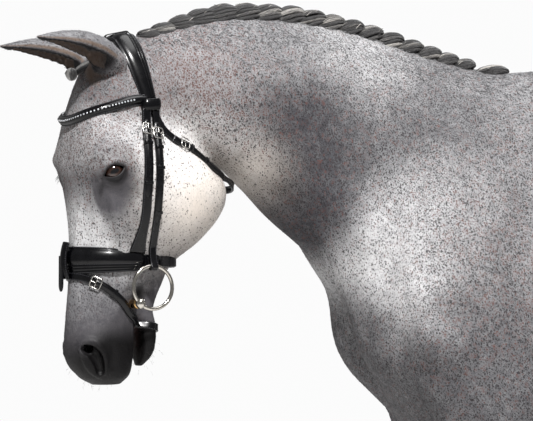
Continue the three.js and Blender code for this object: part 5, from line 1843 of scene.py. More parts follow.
@dataclass
class Bridle:
    """A black padded snaffle bridle with a crystal browband, a flash noseband and a loose-ring bit."""

    maker: Maker
    leather: LeatherFinish = LeatherFinish()
    junction: tuple[float, float] = (-787, 1562)  # x and z where the browband's loops gather the straps
    poll: tuple[float, float, float] = (-790, 0, 1580)
    nose_strap_x: float = -802
    cheekpiece_x: float = -783
    ring_centre: tuple[float, float, float] = (-781, 72.5, 1256)
    ring_radius: float = 36.0
    ring_wire: float = 3.2
    mouth: tuple[float, float] = (-804, 1229)

    def build(self) -> None:
        """Makes every strap, buckle and part of the bit."""
        self.black = self.leather.material()
        self.steel = MetalFinish("buckle_steel", rgb(176, 174, 170), 0.24).material()
        self.stitches: list[tuple[Array, ...]] = []
        self.holes: list[tuple[Array, ...]] = []
        self._headpiece()
        self._browband()
        self._noseband()
        self._flash()
        self._throatlatch()
        self._cheeks()
        self._small_parts()
        self._bit()

    def _shaped(self, name: str, straps: Sequence[Strap], nodes: Sequence[str] = ()) -> None:
        """Makes one piece of several straps."""
        shape = Shape()
        for strap in straps:
            points, faces, marks = strap.body()
            shape.add(points, faces, strap=marks)
        points, faces, notes = shape.gathered()
        self.maker.piece(name, points, faces, self.black, "bridle_leather", nodes, notes)

    def _wrap(self, places: Sequence[tuple[Sequence[float], Sequence[float]]], reach: float = 125
              ) -> tuple[Array, Array]:
        """A path over the skin, looked for from each place inside along its outward direction."""
        inside = np.array([p for p, _ in places], float)
        outward = np.array([o for _, o in places], float)
        outward /= np.linalg.norm(outward, axis=1)[:, None]
        far = np.array([np.linalg.norm(self.maker.surface(p, o, reach) - p) for p, o in zip(inside, outward)])
        far = np.maximum(even(far, 6), far - 0.6)
        return inside + outward * far[:, None], outward

    def _loop(self, centre: Sequence[float], start: float, end: float, count: int,
              rise: Callable[[float], float] = lambda _: 0.0) -> tuple[Array, Array]:
        """A path round a level section of the head; angle 0 is forwards and 90 is the left side."""
        places = []
        for a in np.radians(np.linspace(start, end, count)):
            places.append(((centre[0], centre[1], centre[2] + rise(a)), (-math.cos(a), -math.sin(a), 0)))
        return self._wrap(places)

    def _side(self, side: Side, corners: Points) -> tuple[Array, Array]:
        """A path on a cheek through corners x, z."""
        line = smooth_path([(x, 0, z) for x, z in corners], 8)
        path, _ = self._wrap([(p, (0, side.value, 0)) for p in line])
        return path, np.array([self.maker.normal(p) * (1, 1, 0.5) for p in path])

    def _headpiece(self) -> None:
        """The padded headpiece over the poll, with its two rolled edges and the small loop on top."""
        places = []
        for a in np.radians(np.linspace(-101, 101, 90)):
            places.append((self.poll, (-0.24 * math.cos(a), -math.sin(a), math.cos(a))))
        path, outward = self._wrap(places)
        strap = Strap(path, outward, lambda t: 27 + 15 * math.sin(math.pi * t), 8.0, 0.2, Build.PADDED)
        edges = [self._roll(strap, u, 1.5) for u in (-0.62, -0.30)]
        self._shaped("headpiece_padded", [strap, *edges,
                                          *self._keepers(strap, (strap.length * 0.5,), 7, 1.7)],
                     ["headpiece"])
        self.stitches += strap.seam(-0.9) + strap.seam(0.9)

    def _roll(self, strap: Strap, aside: float, radius: float) -> Strap:
        """A thin rolled edge that runs along a strap's top."""
        places = [strap.at(s, aside) for s in strap.stops[1:-1]]
        return Strap(np.array([p for p, *_ in places]), np.array([o for *_, o in places]), 2 * radius,
                     1.5 * radius, -0.5 * radius, Build.PADDED)

    def _keepers(self, strap: Strap, places: Iterable[float], length: float = 5.5,
                 thick: float = 1.5) -> list[Strap]:
        """Narrow loops of leather round a strap at distances along it."""
        made = []
        for place in places:
            point, _, across, out = strap.at(place, 0, 0)
            half = value_at(strap.width, place / strap.length) / 2 + 0.6
            high = value_at(strap.thickness, place / strap.length)
            section = [(-half, -0.4), (-half, 0.75 * high), (-half * 0.86, high), (half * 0.86, high),
                       (half, 0.75 * high), (half, -0.4)]
            path = np.array([point + across * u + out * v for u, v in section])
            lean = [(1.0, 0.2) if v < 0.9 * high else (0.25, 1.0) for _, v in section]
            outs = np.array([across * u / half * a + out * b for (u, _), (a, b) in zip(section, lean)])
            made.append(Strap(path, outs, length, thick, 0.0, Build.FLAT, pitch=1.5))
        return made

    def _browband(self) -> None:
        """The browband, with its padding, its row of crystals and the loops at its ends."""
        path, outward = self._loop((-800, 0, 1570), -96, 96, 110, lambda a: -34 * math.cos(a) ** 2)
        band = Strap(path, outward, 18, 8.5, 0.6, Build.PADDED)
        parts = [band]
        for side in Side:
            x, z = self.junction
            base = self.maker.surface((x, 0, z), (0, side.value, 0))
            over = []
            for u, v in ((-15, 2), (-15, 10), (-11, 14.5), (0, 15.5), (11, 14.5), (15, 10), (15, 2)):
                over.append(((base + (u, side.value * v, 0.12 * u)), (0.5 * u / 15, side.value, 0)))
            parts.append(Strap(np.array([p for p, _ in over]), np.array([o for _, o in over]), 19, 3.0, 0.0,
                               Build.PADDED, pitch=2.0))
        self._shaped("browband_padded", parts, ["browband"])
        self.stitches += band.seam(-0.9) + band.seam(0.9)
        reach = band.length * 0.5 - 24
        gems = [band.at(s, 0.0) for s in np.arange(band.length / 2 - reach, band.length / 2 + reach, 5.6)]
        gem = spin([(0.3, -0.6), (1.2, -0.2), (1.5, 0.3), (0.95, 0.9), (0.1, 1.0)], 8)
        cup = spin([(1.5, -0.8), (1.75, -0.2), (1.8, 0.2), (1.6, 0.35), (1.4, 0.1)], 8)
        look = PlainFinish("crystal", rgb(236, 240, 248), 0.04, 0.55, 1.0, 300).material()
        for name, shape, finish, flat in (("browband_crystals", gem, look, True),
                                          ("crystal_settings", cup, self.steel, False)):
            Scatter(name, shape).build(self.maker, np.array([p for p, *_ in gems]),
                                       np.array([g[3] for g in gems]), np.array([g[1] for g in gems]), finish,
                                       "buckle_steel", smooth=not flat)

    def _noseband(self) -> None:
        """The broad padded noseband and its narrow strap under the jaw."""
        path, outward = self._loop((-802, 0, 1301), -176, 176, 180)
        front = Strap(*self._cut(path, outward, 0.225, 0.775),
                      lambda t: 47 - 13 * abs(2 * t - 1) ** 1.3, lambda t: 9 - 4 * abs(2 * t - 1) ** 2.5, 0.4,
                      Build.RAISED)
        rear = [Strap(*self._cut(path, outward, a, b), 19, 3.4, 0.2) for a, b in ((0.0, 0.24), (0.76, 1.0))]
        tag = Strap(*self._cut(path, outward, 0.86, 0.985), 17, 2.4, 3.6, tip=12)
        self._shaped("noseband_padded", [front, *rear, tag, *self._keepers(rear[1], (12, 34), 6)],
                     ["noseband"])
        self.stitches += front.seam(-0.94) + front.seam(0.95) + front.seam(0.32)

    def _cut(self, path: Array, outward: Array, start: float, end: float) -> tuple[Array, Array]:
        """The part of a path between two shares of its points."""
        a, b = round(start * (len(path) - 1)), round(end * (len(path) - 1))
        return path[a:b + 1], outward[a:b + 1]

    def _flash(self) -> None:
        """The flash strap, with its buckle and tip, and the loop on the noseband that carries it."""
        centre = (-812, 0, 1215)
        path, outward = self._loop(centre, -174, 174, 170,
                                   lambda a: (60 if math.cos(a) > 0 else 28) * math.cos(a))
        band = Strap(path, outward, 13, 4.0, 0.6)
        tag = Strap(*self._cut(path, outward, 0.60, 0.80), 12, 3.2, 4.6, Build.PADDED, tip=10)
        self._shaped("flash_strap_leather", [band, tag, *self._keepers(band, (band.length * 0.69,), 5)],
                     ["flash_strap"])
        self.stitches += band.seam(-0.78, 3.4) + band.seam(0.78, 3.4)
        self.buckles = [("flash", Side.LEFT, band, band.length * 0.615)]
        front = self.maker.surface((-802, 0, 1301), (-1, 0, 0))
        places = [front + (-6 - 6 * math.cos(a) ** 2, 0, 31 * math.sin(a))
                  for a in np.linspace(-1.25, 1.25, 14)]
        loop = Strap(np.array(places), np.tile((-1.0, 0, 0), (14, 1)), 22, 7.0, 0.0, Build.PADDED)
        end = Strap(np.array([front + (-15, 3, z) for z in (8, -10, -26, -40, -52)]),
                    np.tile((-1.0, 0, 0), (5, 1)), 15, 3.0, 0.0, tip=9)
        self._shaped("flash_loop_leather", [loop, end], ["flash_loop"])
        self.stitches += loop.seam(-0.9) + loop.seam(0.9)

    def _throatlatch(self) -> None:
        """The throatlatch, its tip and keepers."""
        left, out_left = self._side(Side.LEFT,
                                    ((-783, 1556), (-768, 1522), (-743, 1503), (-721, 1496), (-690, 1477),
                                                (-660, 1460), (-632, 1444)))
        right = left[::-1] * (1, -1, 1)
        under = smooth_path([left[-1], (-618, -42, 1436), (-606, -18, 1429), (-606, 18, 1429),
                             (-618, 42, 1436), right[0]], 8)[1:-1]
        path = np.vstack([left, under, right])
        outward = path - np.stack([np.full(len(path), -735), np.zeros(len(path)), path[:, 2] + 20], 1)
        outward[:len(left)] = out_left
        outward[-len(left):] = out_left[::-1] * (1, -1, 1)
        outward /= np.linalg.norm(outward, axis=1)[:, None]
        path, outward = even(path, 8), even(outward, 30)
        band = Strap(path, outward, 13, 4.2, 1.0)
        tag = Strap(*self._cut(left, out_left, 0.3, 0.98), 11.5, 3.0, 5.3, Build.PADDED, tip=10)
        self._shaped("throatlatch_leather",
                     [band, tag, *self._keepers(tag, (tag.length * 0.32, tag.length * 0.62), 5)],
                     ["throatlatch"])
        self.buckles.append(("throatlatch", Side.LEFT, band, band.length * 0.165))
        self.stitches += band.seam(-0.78, 3.4) + band.seam(0.78, 3.4)

    def _cheeks(self) -> None:
        """On each side, the noseband's cheek strap and the cheekpiece with its billet, keepers and holes."""
        for side in Side:
            x = self.nose_strap_x
            path, outward = self._side(side,
                                       ((x + 4, 1552), (x + 1, 1500), (x, 1434), (x + 1, 1376),
                                        (x - 5, 1314)))
            hanger = Strap(path, outward, lambda t: 16 + 300 * max(0.0, t - 0.78) ** 2, 4.2,
                           lambda t: 1.0 + 5 * max(0, 1 - 7 * t) - 18 * max(0, t - 0.86))
            tag = Strap(*self._cut(path, outward, 0.08, 0.62), 12.5, 3.4, 5.2, Build.PADDED, tip=10)
            loops = self._keepers(tag, (tag.length * 0.30, tag.length * 0.80), 5)
            self._shaped(f"noseband_hanger_{side.word}", [hanger, tag, *loops],
                         [f"noseband_strap_{side.word}"])
            self.buckles.append(("noseband", side, hanger, hanger.length * 0.145))
            self.stitches += hanger.seam(-0.8) + hanger.seam(0.8)
            self.holes += [tag.at(tag.length * k) for k in (0.42, 0.52, 0.62, 0.72)]
            x = self.cheekpiece_x
            path, outward = self._side(side,
                                       ((x + 1, 1550), (x + 1, 1505), (x + 1, 1435), (x + 2, 1377),
                                        (x + 2, 1322)))
            ring = np.array(self.ring_centre)
            low = smooth_path([path[-1], (x + 2, side.value * 68, 1306), (ring[0] + 1, side.value * 70, 1296),
                               (ring[0] + 1, side.value * 74.5, 1286)], 5)[1:]
            outs = np.vstack([outward, np.tile((0, side.value, 0.05), (len(low), 1))])
            cheek = Strap(np.vstack([path, low]), outs, 13, 4.6, lambda t: 1.6 + 5 * max(0, 1 - 7 * t))
            # under the ring
            fold = ((75.5, 1292), (74.5, 1287.5), (72, 1286), (68.5, 1288), (66.5, 1296), (66, 1306))
            faced = ((1, 0), (0.7, -0.7), (0, -1), (-0.7, -0.7), (-1, 0), (-1, 0.1))
            back = Strap(np.array([(ring[0] + 1, side.value * y, z) for y, z in fold]),
                         np.array([(0, side.value * a, b) for a, b in faced]), 13, 3.0, 0.0, pitch=2.0)
            tag = Strap(*self._cut(path, outward, 0.12, 0.80), 12, 3.4, 6.2, Build.PADDED, tip=10)
            loops = self._keepers(tag, (tag.length * 0.25, tag.length * 0.45, tag.length * 0.88), 5)
            self._shaped(f"cheekpiece_leather_{side.word}", [cheek, back, tag, *loops],
                         [f"cheekpiece_{side.word}"])
            self.buckles.append(("cheekpiece", side, cheek, cheek.length * 0.15))
            self.stitches += cheek.seam(-0.8, start=30) + cheek.seam(0.8, start=30)
            self.holes += [tag.at(tag.length * k) for k in (0.52, 0.60, 0.68, 0.76)]

    def _small_parts(self) -> None:
        """Buckles, stitches, and black discs that paint the shade of punched holes."""
        for name, side, strap, place in self.buckles:
            shape = Shape()
            point, along, across, out = strap.at(place, 0,
                                                 value_at(strap.thickness, place / strap.length) + 2.2)
            turn = np.linspace(0, 2 * math.pi, 40, endpoint=False)
            wire = np.linspace(0, 2 * math.pi, 8, endpoint=False)
            body = []
            for a in turn:
                c, s = math.cos(a), math.sin(a)
                reach = 9.4 / (abs(c) ** 5 + abs(s) ** 5) ** 0.2
                for b in wire:
                    r = reach + 1.25 * math.cos(b)
                    bow = 1.3 * c * c
                    body.append(point + along * r * c * 0.98 + across * r * s + out
                                * (1.15 * math.sin(b) + bow - 0.4))
            shape.add(np.array(body), tube_faces(40, 8, True))
            for start, end, radius, lift in (((0, -9.0), (0, 9.0), 1.1, 0.0),
                                             ((0.5, 0), (-10, 0), 0.95, 1.6)):
                ends = [point + along * a + across * b + out * lift for a, b in (start, end)]
                line = np.linspace(ends[0], ends[1], 7)
                _, w, o = frames(line, np.tile(out, (7, 1)))
                bar = [p + radius * (math.cos(a) * u + math.sin(a) * v) for p, u,
                       v in zip(line, w, o) for a in wire]
                shape.add(np.array(bar), tube_faces(7, 8))
            points, faces, _ = shape.gathered()
            self.maker.piece(f"{name}_buckle_{side.word}", points, faces, self.steel, "buckle_steel",
                             [f"buckle_{name}_{side.word}"])
        thread = PlainFinish("thread", rgb(46, 46, 52), 0.6).material()
        stitch = spin([(0.12, -1.2), (0.42, -0.8), (0.48, 0.0), (0.42, 0.8), (0.12, 1.2)], 6)
        stitch = (stitch[0][:, [2, 0, 1]] * (1, 1, 0.8) + (0, 0, 0.12), stitch[1])
        punch = spin([(1.25, -0.4), (1.3, 0.12), (1.0, 0.16), (0.9, -0.2)], 10)
        # A punched hole is a black disc on the strap: painted shade where the hole is.
        hollow = PlainFinish("punched_hole", rgb(6, 6, 7), 0.9).material()
        for name, marks, shape, look in (("strap_stitches", self.stitches, stitch, thread),
                                         ("strap_holes", self.holes, punch, hollow)):
            Scatter(name, shape).build(self.maker, *(np.array([m[i] for m in marks]) for i in (0, 3, 1)),
                                       look, "bridle_leather")

    def _bit(self) -> None:
        """The loose rings and the jointed mouthpiece."""
        polished = MetalFinish("bit_steel", rgb(196, 192, 184), 0.12).material()
        brass = MetalFinish("bit_brass", rgb(196, 160, 108), 0.2).material()
        for side in Side:
            points, faces = ring_body(self.ring_radius, self.ring_wire, 96, 14)
            centre = np.array(self.ring_centre) * (1, side.value, 1)
            self.maker.piece(f"ring_{side.word}", points + centre, faces, polished, "bit_steel",
                             [f"bit_ring_{side.word}"])
        x, z = self.mouth
        reach = self.ring_centre[1]
        stops = ((0.0, 5.4), (7, 6.0), (10.5, 3.6), (13, 4.6), (20, 6.4), (36, 7.2), (52, 8.0), (60, 8.4),
                 (64.5, 8.8), (66.5, 7.2))
        profile = [(r, -y) for y, r in reversed(stops[1:])] + [(r, y) for y, r in stops]
        outline = smooth_path([(r, y, 0) for r, y in profile], 4)
        points, faces = spin([(max(r, 0.5), y) for r, y, _ in outline], 24)
        self.maker.piece("mouthpiece", points[:, [0, 2, 1]] + (x, 0, z), faces, brass, "bit_steel",
                         ["bit_mouthpiece"])
        for side in Side:
            ball = [(8.6 * math.sin(a), 9.2 * -math.cos(a)) for a in np.linspace(0.12, math.pi - 0.12, 14)]
            points, faces = spin(ball, 24)
            self.maker.piece(f"ball_joint_{side.word}", points + (x, side.value * reach, z), faces, polished,
                             "bit_steel")


# ---------------------------------------- mane, tail and hooves


# Each plait: place along the crest x, half its length, its height.
PLAITS = (
    (-752, 14, 9), (-724, 15, 12), (-690, 18, 17), (-653, 20, 20), (-612, 22, 22), (-568, 22, 22),
    (-524, 21, 22),
    (-481, 21, 22), (-440, 20, 21), (-402, 18, 20), (-366, 18, 20), (-330, 18, 20), (-293, 18, 19),
    (-257, 18, 18),
    (-221, 17, 17), (-187, 16, 15), (-155, 15, 13), (-100, 20, 12),
)


@dataclass
class Plaits:
    """The mane in a row of rolled plaits along the crest, and the forelock in one more."""

    maker: Maker
    strands: int = 11
    seed: int = 3

    def build(self) -> None:
        """Makes the mane's plaits and the forelock's."""
        look = HairFinish("mane_hair", rgb(22, 20, 21), rgb(186, 182, 176), 0.42).material()
        rng = np.random.default_rng(self.seed)
        shape = Shape()
        for x, half, height in PLAITS:
            top = self.maker.surface((x, 0, 1560), (0, 0, 1))
            self._roll(shape, rng, np.array([x, 0, top[2] - 2]), half * 1.42, height + 2, 0.22)
        points, faces, notes = shape.gathered()
        nodes = [f"mane_plait_{i + 1:02d}" for i in range(len(PLAITS))]
        self.maker.piece("mane_plaits", points, faces, look, "mane_hair", nodes, notes)
        pale = HairFinish("forelock_hair", rgb(40, 39, 41), rgb(206, 204, 202), 0.42).material()
        knot = Shape()
        self._knot(knot, rng, np.array([-900, -2, 1614.0]), 9.5)
        self._stalk(knot, rng, np.array([-862, 0, 1630.0]), np.array([-894, -2, 1616.0]))
        points, faces, notes = knot.gathered()
        self.maker.piece("forelock_roll", points, faces, pale, "mane_hair", ["forelock_plait"], notes)

    def _strand(self, shape: Shape, line: Array, outward: Array, wide: Array, thick: Array,
                pick: float) -> None:
        """Adds one flat strand of hair along a line."""
        _, across, out = frames(line, outward)
        turn = np.linspace(0, 2 * math.pi, 8, endpoint=False)
        points, marks = [], []
        steps = np.concatenate([[0], np.cumsum(np.linalg.norm(np.diff(line, axis=0), axis=1))])
        for p, w, o, a, b, s in zip(line, across, out, wide, thick, steps):
            for t in turn:
                points.append(p + w * a * math.cos(t) + o * b * math.sin(t))
                marks.append((math.cos(t) * 0.6, s * 0.1, pick))
        shape.add(np.array(points), tube_faces(len(line), 8), lock=np.array(marks))

    def _roll(self, shape: Shape, rng: np.random.Generator, base: Array, half: float, height: float,
              pale: float) -> None:
        """Adds one plait: strands that run along the crest and arch over a core from end to end."""
        core = [(0.96 * math.sin(a), -math.cos(a)) for a in np.linspace(0.1, math.pi - 0.1, 12)]
        points, faces = spin(core, 20)
        body = points * (0.86 * half, 14.5, 0.80 * height) + base + (0, 3, 0.04 * height)
        shape.add(body, faces, lock=np.stack([points[:, 0] * 2, points[:, 2], np.full(len(points), 0.05)], 1))
        for i in range(self.strands):
            turn = -0.30 + (math.pi + 0.6) * (i + 0.5) / self.strands + rng.normal(0, 0.05)
            reach, twist = rng.uniform(0.94, 1.10), rng.uniform(0.25, 0.55)
            line, outward, wide = [], [], []
            for t in np.linspace(-1, 1, 15):
                full = math.sqrt(max(1 - (0.97 * t) ** 2, 0.02)) ** 0.9
                a = turn + twist * t
                lean = 0.30 * half * math.sin(a) * full
                line.append(base + (half * t * reach + lean, 3 - 17 * full * math.cos(a),
                                    height * (0.98 * full * math.sin(a) + 0.02) + 1))
                outward.append((0.6 * t, -math.cos(a), math.sin(a) + 0.05))
                wide.append(3.6 * (0.45 + 0.55 * full))
            pick = float(np.clip(rng.normal(pale, 0.30), 0, 1))
            self._strand(shape, np.array(line), np.array(outward), np.array(wide),
                         np.full(15, rng.uniform(1.6, 3.0)), pick)
        for _ in range(5):
            t0, a0 = rng.uniform(-0.8, 0.6), rng.uniform(0.2, 2.4)
            line = [base + (half * (t0 + 0.4 * s), 3 - (17.5 + 5 * s) * math.cos(a0 + 0.5 * s),
                            (height + 1 + 4 * s * (1 - s)) * math.sin(a0 + 0.5 * s)
                            * math.sqrt(1 - 0.5 * t0 * t0))
                    for s in np.linspace(0, 1, 7)]
            self._strand(shape, np.array(line), np.tile((0, -0.5, 1.0), (7, 1)), np.full(7, 0.6),
                         np.full(7, 0.5), float(rng.uniform(0.3, 1.0)))

    def _knot(self, shape: Shape, rng: np.random.Generator, centre: Array, radius: float) -> None:
        """Adds the forelock's knot: strands wound round a small ball."""
        core = [(math.sin(a), -math.cos(a)) for a in np.linspace(0.1, math.pi - 0.1, 12)]
        points, faces = spin(core, 20)
        shape.add(points * (0.85 * radius, 0.8 * radius, 0.95 * radius) + centre, faces,
                  lock=np.stack([points[:, 0], points[:, 2], np.full(len(points), 0.2)], 1))
        for i in range(9):
            tilt = i / 9 * math.pi
            line, outward = [], []
            for a in np.linspace(0, 1.7 * math.pi, 22):
                d = np.array([math.cos(a) * math.cos(tilt), math.cos(a) * math.sin(tilt) * 0.85, math.sin(a)])
                line.append(centre + d * radius * (0.98 + 0.05 * math.sin(3 * a + i)))
                outward.append(d)
            self._strand(shape, np.array(line), np.array(outward), np.full(22, 2.2), np.full(22, 1.5),
                         float(np.clip(rng.normal(0.62, 0.25), 0, 1)))

    def _stalk(self, shape: Shape, rng: np.random.Generator, root: Array, end: Array) -> None:
        """Adds the gathered hair that runs from between the ears to the forelock's knot."""
        for i in range(8):
            a = 2 * math.pi * i / 8
            off = np.array([0.3 * math.sin(a), math.cos(a), math.sin(a)])
            line = [root + (end - root) * t + off * (11 - 6.5 * t) + (0, 0, 4 * math.sin(math.pi * t))
                    for t in np.linspace(0, 1, 8)]
            self._strand(shape, np.array(line), np.tile(off, (8, 1)), np.full(8, 3.2), np.full(8, 2.0),
                         float(np.clip(rng.normal(0.55, 0.25), 0, 1)))


TAIL = (
    (1150, 1512, 1158, 1478, 26, 0.5, 2, 2, 0), (1214, 1530, 1212, 1468, 33, 0.5, 2, 2, 0),
    (1272, 1516, 1248, 1452, 36, 0.5, 2, 2, 0), (1334, 1440, 1292, 1400, 44, 0.5, 2, 2, 0),
    (1368, 1310, 1304, 1300, 58, 0.5, 2, 2, 0), (1388, 1100, 1304, 1095, 76, 0.5, 2, 2, 0),
    (1396, 850, 1300, 850, 84, 0.5, 2, 2, 0), (1390, 620, 1300, 622, 74, 0.5, 2, 2, 0),
    (1374, 480, 1306, 485, 52, 0.5, 2, 2, 0), (1360, 430, 1320, 432, 34, 0.5, 2, 2, 0),
)


@dataclass
class Tail:
    """The tail: long locks that hang round its dock."""

    maker: Maker
    locks: int = 420
    seed: int = 5

    def build(self) -> None:
        """Makes the tail."""
        look = HairFinish("tail_hair", rgb(88, 84, 84), rgb(214, 208, 202), 0.5).material()
        rings = smooth_rows(TAIL, 10)
        rng = np.random.default_rng(self.seed)
        shape = Shape()
        last = len(rings) - 1
        for i in range(self.locks):
            a = 2 * math.pi * (i * 0.618034 % 1)
            deep = rng.uniform(0.62, 0.93)
            start = min(rng.uniform(0.0, 0.40) ** 1.3, 0.35) if i % 3 else rng.uniform(0, 0.08)
            end = rng.uniform(0.72, 0.985)
            wave, phase, swing = rng.uniform(0.02, 0.06), rng.uniform(0, 6.28), rng.uniform(-0.25, 0.25)
            line, outward = [], []
            for t in np.linspace(start, end, 26):
                ring, part = int(t * last), t * last % 1
                row = rings[ring] * (1 - part) + rings[min(ring + 1, last)] * part
                share = (t - start) / (end - start)
                b = a + swing * share + wave * math.sin(9 * share + phase)
                r = deep * (0.55 + 0.45 * min(share / 0.12, 1.0)) * (1 - 0.12 * share)
                x = (row[0] + row[2]) / 2 + (row[0] - row[2]) / 2 * r * math.cos(b)
                z = (row[1] + row[3]) / 2 + (row[1] - row[3]) / 2 * r * math.cos(b)
                line.append((x, row[4] * r * math.sin(b), z))
                outward.append(((row[0] - row[2]) * math.cos(b), row[4] * math.sin(b), 0.3))
            wide = 5.5 * rng.uniform(0.7, 1.3)
            width = wide * np.array([0.25, *([1.0] * 20), 0.85, 0.66, 0.45, 0.24, 0.08])
            self._lock(shape, np.array(line), np.array(outward), width,
                       float(np.clip(rng.normal(0.5, 0.28), 0, 1)))
        points, faces, notes = shape.gathered()
        self.maker.piece("tail_locks", points, faces, look, "tail_hair", ["tail"], notes)

    def _lock(self, shape: Shape, line: Array, outward: Array, width: Array, pick: float) -> None:
        """Adds one flat lock along a line."""
        _, across, out = frames(line, outward)
        points, marks = [], []
        for i, (p, w, o, half) in enumerate(zip(line, across, out, width)):
            for u, v in ((-1, 0), (0, 0.42), (1, 0), (0, -0.42)):
                points.append(p + w * half * u + o * half * v)
                marks.append((u * 0.9, i * 0.55, pick))
        shape.add(np.array(points), tube_faces(len(line), 4), lock=np.array(marks))


# Each pair of hooves: its word, x of its coronet's front and y of its middle.
HOOF_PLACES = (("fore", -239, 126), ("hind", 1104, 139))


@dataclass
class Hooves:
    """Four unshod hooves with rings of growth."""

    maker: Maker
    rings: int = 7
    ripple: float = 0.8  # depth of the rings of growth, in millimetres
    inset: float = 1.2  # how far the wall lies inside the frame's, in millimetres
    half: float = 50.0  # about half a hoof's width, in millimetres
    centre: float = 42.0  # from the table's origin back to the hoof's middle

    def build(self) -> None:
        """Makes a hoof under each leg."""
        look = HornFinish().material()
        for end, x, y in HOOF_PLACES:
            for side in Side:
                points, quads, caps = loft(HOOF, 64, 12, shift=(x, side.value * y, 0))
                points = points / MM
                low, high = points[:, 2].min(), points[:, 2].max()
                up = (points[:, 2] - low) / (high - low)
                middle = np.array([x + self.centre, side.value * y])
                arm = points[:, :2] - middle
                wave = 0.5 + 0.5 * np.cos(up * self.rings * 2 * math.pi)
                shrink = 1 - (self.inset + self.ripple * wave) * np.clip(up * 8, 0, 1) / self.half
                points[:, :2] = middle + arm * shrink[:, None]
                turn = np.arctan2(arm[:, 1], arm[:, 0])
                notes = np.stack([turn, points[:, 2] * MM, np.zeros(len(points))], 1)
                self.maker.piece(f"horn_{end}_{side.word}", points, [*quads, *caps], look, "hoof_horn",
                                 [f"hoof_{end}_{side.word}"], {"wall": notes})


# ---------------------------------------- hair of the coat


@dataclass
class Patch:
    """One piece of the coat: where its tufts grow, how many and how long they are."""

    name: str
    count: int
    length: float
    width: float
    rise: float  # how steeply they stand, as a share of their length
    density: Callable[[Array, Array], Array]  # of straight positions in millimetres and normals
    flecked: float = 0.8  # how much of the skin's flecks it shows


